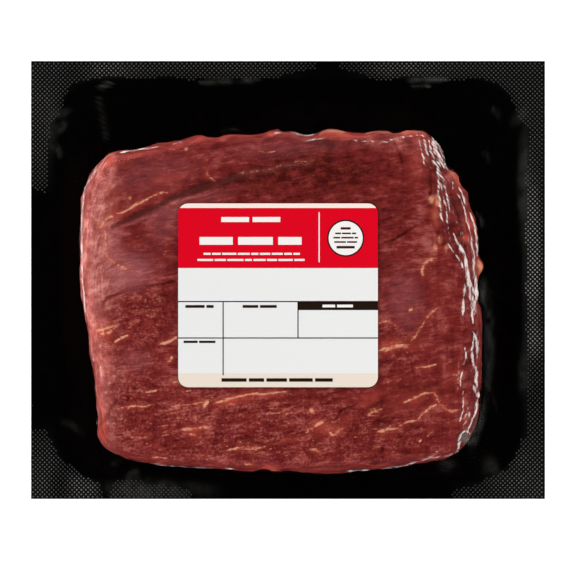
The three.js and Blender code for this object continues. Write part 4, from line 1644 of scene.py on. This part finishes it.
@dataclass
class TopFilm:
    """The clear film: tight on the beef, tented at its foot, sealed flat on the rim."""

    web: BackingWeb
    beef: BeefBlock
    bearings: int = 480
    face_stations: int = 12
    gap_mm: float = 0.5
    side_gap_mm: float = 0.7
    least_gap_mm: float = 0.4
    bed_gap_mm: float = 0.3
    fan_back_mm: float = 18.0
    fan_level_mm: float = 24.0
    fan_rays: int = 80
    fan_tilts: tuple[float, float] = (84, -14)
    right_side_px: tuple[float, float] = (415, 440)
    foot_spread: tuple[tuple[float, float], ...] = (
        (-60, 4.5), (-40, 7.5), (0, 6.5), (25, 4.5), (45, 3.0), (70, 2.0), (120, 1.8), (150, 1.8),
        (180, 1.6), (210, 1.8), (240, 2.2), (270, 2.6), (290, 3.5))

    def build(self, finish: bpy.types.Material) -> bpy.types.Object:
        """Models the film from its profiles round the beef.

        Args:
            finish: the film's material.

        Returns:
            The finished piece.
        """
        angles = full_circle(self.bearings)
        profiles = self._tauten(np.array([self._profile(angle) for angle in angles]))
        stations = profiles.shape[1]
        deselect_all()
        bpy.ops.mesh.primitive_grid_add(x_subdivisions=self.bearings, y_subdivisions=stations - 1,
                                        size=2)
        piece = settle(bpy.context.object, "drawn_film")
        grid = read_points(piece) * MM
        column = np.rint((grid[:, 0] + 1) / 2 * self.bearings).astype(int) % self.bearings
        row = np.rint((grid[:, 1] + 1) / 2 * (stations - 1)).astype(int)
        reach, height = profiles[column, row].T
        turn = angles[column]
        write_points(piece, np.stack([PACK_MIDDLE_MM[0] + reach * np.cos(turn),
                                      PACK_MIDDLE_MM[1] + reach * np.sin(turn), height], 1))
        with editing(piece):
            bpy.ops.mesh.remove_doubles(threshold=0.01 * MM)
            bpy.ops.mesh.normals_make_consistent(inside=False)
        if sum(face.normal.z for face in piece.data.polygons) < 0:
            with editing(piece):
                bpy.ops.mesh.flip_normals()
        self._refine_creased(piece)
        self._crinkle(piece)
        self._lift_clear(piece)
        self._paint(piece)
        dress(piece, finish)
        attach(piece, "root")
        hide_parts("top_film")
        return piece

    def _refine_creased(self, piece: bpy.types.Object) -> None:
        """Splits the faces once more where the film is creased."""
        points = read_points(piece)
        pixels = VIEW.pixels(points)
        creased = cover_all(FILM_GLINT_CREASES, pixels) + cover_all(FILM_CRINKLED, pixels) > 0.15
        split_faces(piece, creased & (points[:, 2] > 12))

    def _hit(self, start: tuple, way: tuple) -> tuple[np.ndarray, np.ndarray]:
        """Where a ray meets the beef's broad form, in millimetres, and the normal there."""
        place, normal, _, _ = self.beef.bed.ray_cast(Vector(start) * MM, Vector(way))
        return np.array(place) / MM, np.array(normal)

    def _profile(self, angle: float) -> np.ndarray:
        """Follows the film from the middle of the face out to the rim's edge.

        Args:
            angle: the bearing from the film's middle.

        Returns:
            Rows of distance from the middle and level.
        """
        way = np.array((math.cos(angle), math.sin(angle)))
        hit, _ = self._hit((*(PACK_MIDDLE_MM + way * 140), self.fan_level_mm), (*-way, 0))
        back = float(np.hypot(*(hit[:2] - PACK_MIDDLE_MM))) - self.fan_back_mm
        rows = []
        for reach in np.linspace(0, back, self.face_stations):
            top, _ = self._hit((*(PACK_MIDDLE_MM + way * reach), 80), (0, 0, -1))
            rows.append((reach, top[2] + self.gap_mm))
        hub = (*(PACK_MIDDLE_MM + way * back), self.fan_level_mm)
        for tilt in np.linspace(*np.radians(self.fan_tilts), self.fan_rays):
            ray = np.array((*(way * math.cos(tilt)), math.sin(tilt)))
            spot, normal = self._hit(hub, ray)
            spot = spot + normal * np.sign(np.dot(normal, ray)) * self.side_gap_mm
            rows.append((float(np.dot(spot[:2] - PACK_MIDDLE_MM, way)), spot[2]))
        return np.array(rows + self._outer(angle, way, rows[-1]))

    def _outer(self, angle: float, way: np.ndarray, last: tuple[float, float]) -> list:
        """Carries a profile from the beef's side down to the web and out over the rim.

        Args:
            angle: the bearing.
            way: the bearing as a unit vector.
            last: the last point on the beef.

        Returns:
            The rest of the profile.
        """
        edge = self.web.edge_reach(angle)
        rim = self._rim_reach(way)
        wobble = 0.22 * math.sin(7 * angle + 1) + 0.16 * math.sin(17 * angle)
        spread = float(np.interp(math.degrees(angle), *zip(*self.foot_spread), period=360))
        foot = last[0] + max(0.8, min(spread * (1 + wobble), edge - last[0] - 1.0))
        bridging = 1 - float(smoothstep(np.array(edge - last[0]), 0.0, 8.0))
        start = np.array(last)
        end = np.array((foot, self._bed_level(way, foot, bridging)))
        knee = np.array((last[0] + 0.3 * (foot - last[0]), end[1] + 0.38 * (last[1] - end[1])))
        rows = [tuple((1 - share) ** 2 * start + 2 * share * (1 - share) * knee + share**2 * end)
                for share in np.linspace(0, 1, 11)[1:]]
        floor = np.linspace(foot, edge, 24)[1:]
        return rows + [(reach, self._bed_level(way, reach, bridging))
                       for reach in (foot + 0.15, *floor, *np.linspace(edge, rim, 6)[1:])]

    def _bed_level(self, way: np.ndarray, reach: float, bridging: float) -> float:
        """The film's level over the web, spanning narrow gaps beside the beef."""
        x, y = PACK_MIDDLE_MM + way * reach
        level = float(self.web.level(np.array(x), np.array(y)))
        return level + (self.web.rim_level - level) * bridging + self.bed_gap_mm

    def _rim_reach(self, way: np.ndarray) -> float:
        """Where a bearing leaves the web."""
        return min((math.copysign(self.web.size_mm[i] / 2, way[i]) - PACK_MIDDLE_MM[i]) / way[i]
                   for i in (0, 1) if abs(way[i]) > 1e-9)

    def _tauten(self, profiles: np.ndarray) -> np.ndarray:
        """Evens the profiles along and across, as a stretched film would lie.

        Args:
            profiles: one row of stations for each bearing.

        Returns:
            The same profiles, smoother over the beef.
        """
        taut = profiles.copy()
        first, last = self.face_stations, self.face_stations + self.fan_rays
        for _ in range(3):
            around = (np.roll(taut, 1, 0) + np.roll(taut, -1, 0)) / 2
            taut[:, 1:last + 8] = (taut[:, 1:last + 8] + around[:, 1:last + 8]) / 2
            inner = (taut[:, :-2] + taut[:, 2:]) / 2
            taut[:, first + 1:last - 2] = (taut[:, first + 1:last - 2]
                                           + inner[:, first:last - 3]) / 2
        return taut

    def _lift_clear(self, piece: bpy.types.Object) -> None:
        """Lifts the sheet off the meat where it would touch, and keeps how near each point lies."""
        points = read_points(piece)
        self.apart = np.full(len(points), 9.0)
        for i in np.flatnonzero(points[:, 2] > 10.5):
            place, normal, _, _ = self.beef.skin.find_nearest(Vector(points[i]) * MM)
            foot, away = np.array(place) / MM, np.array(normal)
            self.apart[i] = np.dot(points[i] - foot, away)
            if self.apart[i] < self.least_gap_mm:
                points[i] = foot + away * self.least_gap_mm
        write_points(piece, points)

    def _paint(self, piece: bpy.types.Object) -> None:
        """Stores where the film creases, which way, how freely it shines, and where its painted
        highlights and painted sheen lie.
        """
        points = read_points(piece)
        pixels = VIEW.pixels(points)
        crease = self._crease_space(points)
        held = 1 - smoothstep(self.apart, 1.2, 2.6)
        up = read_normals(piece)[:, 2]
        flat, upright = smoothstep(up, 0.9, 0.99), 1 - smoothstep(up, 0.1, 0.4)
        wavy = pixels + 0.7 * np.stack([grain(k, points, 2.6, 2) for k in (25, 26)], 1)
        # Painted highlights: white strands along the listed creases, and between the fine crinkles
        # where the film clings
        thin = 1 - np.abs(grain(27, crease * 2.0, 1.0, 2))
        between = smoothstep(thin, 0.9, 1.0) * cover_all(FILM_CRINKLED, pixels)
        strand = np.maximum(cover_all(FILM_GLINT_CREASES, wavy), 0.5 * between * held)
        rag = 0.8 + 0.7 * grain(24, points, 3.0)
        # Painted sheen: grey over the slack film, and over the dotted rim
        painted_sheen = sum_all(FILM_SHEEN, pixels) * np.clip(rag, 0.1, 1.6)
        painted_sheen *= 1 - smoothstep(-up, -0.5, -0.1)
        on_rim = 1 - smoothstep(self.web.inside_distance(points[:, 0], points[:, 1]), -2, 0)
        painted_sheen += 0.05 * on_rim * self.web.rim_crispness_and_shine(pixels)
        layers = {"crease": crease,
                  "crinkle": np.clip(sum_all(FILM_CRINKLED, pixels), 0, 1) * held,
                  "gloss": 0.03 + held * (0.04 + 0.3 * flat + 0.25 * upright),
                  "strand": np.clip(strand * smoothstep(points[:, 2], 13, 22), 0, 1),
                  "painted_sheen": np.clip(painted_sheen, 0, 0.6)}
        for name, values in layers.items():
            paint(piece, name, values)

    def _crease_space(self, points: np.ndarray) -> np.ndarray:
        """Lays coordinates long round the beef and short across its sides."""
        across = points[:, :2] - PACK_MIDDLE_MM
        reach = np.hypot(*across.T)
        warp = 1.1 * grain(22, points, 14.0, 2)
        ring = 4.5 * across / np.maximum(reach, 1e-6)[:, None]
        return np.column_stack([ring, (reach - points[:, 2]) / 2.4 + warp])

    def _crinkle(self, piece: bpy.types.Object) -> None:
        """Raises the pleats and crinkles."""
        points, normals = read_points(piece), read_normals(piece)
        pixels = VIEW.pixels(points)
        lift = sum_all(FILM_PLEATS, pixels) + 0.35 * cover_all(FILM_GLINT_CREASES, pixels)
        steep = 1 - smoothstep(normals[:, 2], 0.3, 0.95)
        right = smoothstep(pixels[:, 0], *self.right_side_px)
        fine = 1 - np.abs(grain(21, points, (2.6, 9.0, 9.0), 2))
        lift += 0.18 * steep * right * np.clip(fine, 0, 1) ** 3
        moat = smoothstep(self.web.inside_distance(points[:, 0], points[:, 1]), -1, 4)
        low = 1 - smoothstep(points[:, 2], 8, 14)
        ripple = 1 - np.abs(grain(21, points, 9.0))
        lift += 0.35 * moat * low * np.clip(ripple, 0, 1) ** 4
        write_points(piece, points + normals * lift[:, None])


@dataclass(frozen=True)
class Band:
    """A colour band across the label, up to top_mm above the label's middle."""

    top_mm: float
    ink: Ink


@dataclass(frozen=True)
class BarLine:
    """A line of plain short bars.

    Fields: its left end and middle level from the label's middle, its length, how tall its bars
    are, the ink, and the seed that parts it into bars.
    """

    left_mm: float
    level_mm: float
    length_mm: float
    height_mm: float
    ink: Ink
    seed: int

    def bars(self) -> list[tuple]:
        """Parts the line into bars of uneven length with even gaps.

        Returns:
            Middle, level, width, height and ink of each bar.
        """
        draw = np.random.default_rng(self.seed)
        bars = []
        start, end = self.left_mm, self.left_mm + self.length_mm
        while start < end - 0.5:
            stop = min(end, start + self.height_mm * draw.uniform(3.0, 8.0))
            if end - stop < 1.5 * self.height_mm:
                stop = end
            bars.append(((start + stop) / 2, self.level_mm, stop - start, self.height_mm, self.ink))
            start = stop + self.height_mm * 0.7
        return bars


LABEL_BANDS = (
    Band(-34.3, Ink.CREAM),
    Band(12.0, Ink.PAPER),
    Band(38.5, Ink.RED),
    Band(41.0, Ink.EDGE),
)

LABEL_BARS = (
    (0.0, -2.75, 88.0, 0.5, Ink.BLACK),
    (0.0, -18.8, 88.0, 0.5, Ink.BLACK),
    (-24.2, -19.0, 0.5, 32.4, Ink.BLACK),
    (8.8, -10.8, 0.5, 16.0, Ink.BLACK),
    (26.4, -4.6, 35.2, 3.8, Ink.BLACK),
    (18.1, 25.6, 0.5, 22.0, Ink.WHITE),
)

LABEL_LINES = (
    BarLine(-25.0, 33.4, 26.0, 2.2, Ink.WHITE, 1),
    BarLine(-34.6, 24.0, 45.0, 3.4, Ink.WHITE, 2),
    BarLine(-32.8, 18.3, 42.4, 0.9, Ink.WHITE, 3),
    BarLine(-35.5, 15.6, 47.2, 0.9, Ink.WHITE, 4),
    BarLine(-40.8, -4.9, 12.4, 1.2, Ink.BLACK, 5),
    BarLine(-15.6, -4.9, 15.0, 1.2, Ink.BLACK, 6),
    BarLine(-41.6, -20.5, 14.0, 1.0, Ink.BLACK, 7),
    BarLine(19.6, -4.7, 13.4, 1.2, Ink.WHITE, 8),
    BarLine(-24.9, -37.3, 49.0, 1.5, Ink.BLACK, 9),
    BarLine(27.6, 29.5, 4.4, 1.0, Ink.RING, 10),
    BarLine(25.2, 27.3, 9.2, 0.7, Ink.RING, 11),
    BarLine(24.4, 25.4, 10.8, 0.7, Ink.RING, 12),
    BarLine(24.8, 23.5, 10.0, 0.7, Ink.RING, 13),
    BarLine(25.8, 21.2, 8.0, 1.1, Ink.RING, 14),
)


@dataclass
class PriceLabel:
    """The price label: coated paper with bands, ruled boxes, a round mark and short bars.

    Places on it are given in millimetres from its middle.
    """

    level_mm: float = 46.9
    size_mm: tuple[float, float] = (88.0, 81.0)
    corner_mm: float = 4.5
    corner_segments: int = 8
    thickness_mm: float = 0.15
    ink_mm: float = 0.02
    mark_mm: tuple[float, float] = (29.8, 25.2)
    mark_radius_mm: float = 8.2
    mark_field_mm: float = 7.5

    def build(self) -> list[bpy.types.Object]:
        """Models the paper and its print.

        Returns:
            The paper and the print.
        """
        low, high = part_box("label")
        self.middle = ((low[0] + high[0]) / 2 / MM, (low[1] + high[1]) / 2 / MM)
        self.inks = {ink: PrintedLabelPaper(ink).build() for ink in Ink}
        pieces = [self._paper(), self._print()]
        for piece in pieces:
            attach(piece, "root")
            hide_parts("label")
        return pieces

    def _paper(self) -> bpy.types.Object:
        """Cuts the sheet with round corners and parts it into its colour bands."""
        piece = flat_sheet("label_paper", (*self.middle, self.level_mm), self.size_mm)
        with editing(piece):
            bpy.ops.mesh.bevel(offset=self.corner_mm * MM, segments=self.corner_segments,
                               affect="VERTICES")
            for band in LABEL_BANDS:
                bpy.ops.mesh.select_all(action="SELECT")
                place = (0, (self.middle[1] + band.top_mm) * MM, 0)
                bpy.ops.mesh.bisect(plane_co=place, plane_no=(0, 1, 0))
        order = [Ink.PAPER, Ink.CREAM, Ink.EDGE, Ink.RED]
        for ink in order:
            piece.data.materials.append(self.inks[ink])
        for face in piece.data.polygons:
            height = face.center.y / MM - self.middle[1]
            ink = next(band.ink for band in LABEL_BANDS if height < band.top_mm)
            face.material_index = order.index(ink)
        finish_modifier(piece, "SOLIDIFY", thickness=self.thickness_mm * MM, offset=1.0)
        return piece

    def _print(self) -> bpy.types.Object:
        """Lays the ruled lines, bars and the round mark on the paper."""
        parts = [self._bar(*bar) for bar in LABEL_BARS]
        parts.append(self._disc(self.mark_radius_mm, Ink.RING, 1))
        parts.append(self._disc(self.mark_field_mm, Ink.WHITE, 2))
        parts += [self._bar(*bar, 3) for line in LABEL_LINES for bar in line.bars()]
        deselect_all()
        for part in parts:
            part.select_set(True)
        bpy.context.view_layer.objects.active = parts[0]
        bpy.ops.object.join()
        return settle(bpy.context.object, "label_print")

    def _place(self, u: float, v: float, order: int) -> tuple[float, float, float]:
        """Where a print's middle lies, in the given layer of ink over the paper."""
        level = self.level_mm + self.thickness_mm + self.ink_mm * order
        return self.middle[0] + u, self.middle[1] + v, level

    def _bar(self, u: float, v: float, width: float, height: float, ink: Ink, order: int = 1
             ) -> bpy.types.Object:
        """Adds one printed bar.

        Args:
            u: its middle to the right of the label's middle, in millimetres.
            v: its middle above the label's middle.
            width: its length.
            height: its thickness.
            ink: its colour.
            order: how many layers of ink lie from the paper to its face.

        Returns:
            The bar.
        """
        bar = flat_sheet("bar", self._place(u, v, order), (width, height))
        bar.data.materials.append(self.inks[ink])
        return bar

    def _disc(self, radius: float, ink: Ink, order: int) -> bpy.types.Object:
        """Adds a printed disc of the round mark."""
        deselect_all()
        place = [value * MM for value in self._place(*self.mark_mm, order)]
        bpy.ops.mesh.primitive_circle_add(vertices=64, radius=radius * MM, fill_type="NGON",
                                          location=place)
        disc = settle(bpy.context.object, "disc")
        disc.data.materials.append(self.inks[ink])
        return disc


@dataclass
class Studio:
    """A white floor, a soft band of light all round and the camera straight above."""

    floor_m: float = 6.0
    floor_drop_mm: float = 0.2
    band_radiance: float = 1.49
    lit_from: tuple[float, float, float] = (-0.55, 0.15, 0.0)
    strip_place: tuple[float, float, float] = (1.0, 0.12, 0.55)
    strip_size: tuple[float, float] = (0.45, 0.2)
    strip_radiance: float = 9.0
    sensor_mm: float = 36.0
    farthest_m: float = 20.0

    def build(self) -> None:
        """Makes the floor, the lights and the camera."""
        self._floor()
        self._world()
        self._strip()
        self._camera()

    def _floor(self) -> None:
        """Lays a white table that glows a little, so it reads as plain white."""
        deselect_all()
        bpy.ops.mesh.primitive_plane_add(size=self.floor_m,
                                         location=(0, 0, -self.floor_drop_mm * MM))
        floor = settle(bpy.context.object, "studio_floor")
        floor.data.materials.append(Nodes.of_material("white_table_lit").give(
            "Principled BSDF", {"Base Color": (0.9, 0.9, 0.9, 1), "Roughness": 0.9,
                                "Emission Color": (1, 1, 1, 1), "Emission Strength": 0.9}))
        floor.visible_glossy = False

    def _world(self) -> None:
        """Surrounds the table with a soft pale band of light and leaves it dark straight above."""
        nodes = Nodes(bpy.data.worlds.new("soft_band_room"))
        way = nodes.place("Generated")
        height = nodes.add("SeparateXYZ", "Z", {"Vector": way})
        band = nodes.ease(height, 0.72, 0.86, start=self.band_radiance, end=0.0,
                          interpolation_type="SMOOTHSTEP")
        light = nodes.math("MULTIPLY", band, nodes.ease(height, -0.08, -0.03))
        toward = nodes.add("VectorMath", "Value", {0: way, 1: self.lit_from},
                           operation="DOT_PRODUCT")
        bpy.context.scene.world = nodes.give("Background", {
            "Strength": nodes.math("MULTIPLY_ADD", toward, light, light), "Color": (1, 1, 1, 1)})

    def _strip(self) -> None:
        """Adds a soft box on the right that faces the pack."""
        data = bpy.data.lights.new("right_strip", "AREA")
        data.shape = "RECTANGLE"
        data.size, data.size_y = self.strip_size
        data.energy = self.strip_radiance * math.pi * self.strip_size[0] * self.strip_size[1]
        lamp = bpy.data.objects.new("right_strip", data)
        lamp.location = self.strip_place
        lamp.visible_glossy = False
        lamp.rotation_mode = "QUATERNION"
        lamp.rotation_quaternion = Vector(self.strip_place).to_track_quat("Z", "Y")
        bpy.context.collection.objects.link(lamp)

    def _camera(self) -> None:
        """Hangs the camera over the pack, as the photograph has it."""
        data = bpy.data.cameras.new("camera")
        data.sensor_width = self.sensor_mm
        data.lens = VIEW.lens_mm(data.sensor_width)
        data.clip_end = self.farthest_m
        camera = bpy.data.objects.new("camera", data)
        camera.location = [value * MM for value in (*VIEW.aim(), VIEW.camera_level)]
        bpy.context.collection.objects.link(camera)
        bpy.context.scene.camera = camera
        bpy.context.scene.view_settings.view_transform = "Standard"


def main() -> None:
    """Builds the pack piece by piece and reports each one."""
    logging.basicConfig(level=logging.INFO)
    Studio().build()
    beef = BeefBlock()
    made = [beef.build(RawLeanBeef().build())]
    web = BackingWeb(beef)
    made += web.build(FormedBlackWeb().build(), EmbossedWebDots().build())
    film = TopFilm(web, beef)
    made.append(film.build(ClearVacuumFilm().build()))
    made += PriceLabel().build()
    for piece in made:
        LOG.info("%s: %d faces", piece.name, len(piece.data.polygons))


if __name__ == "__main__":
    main()
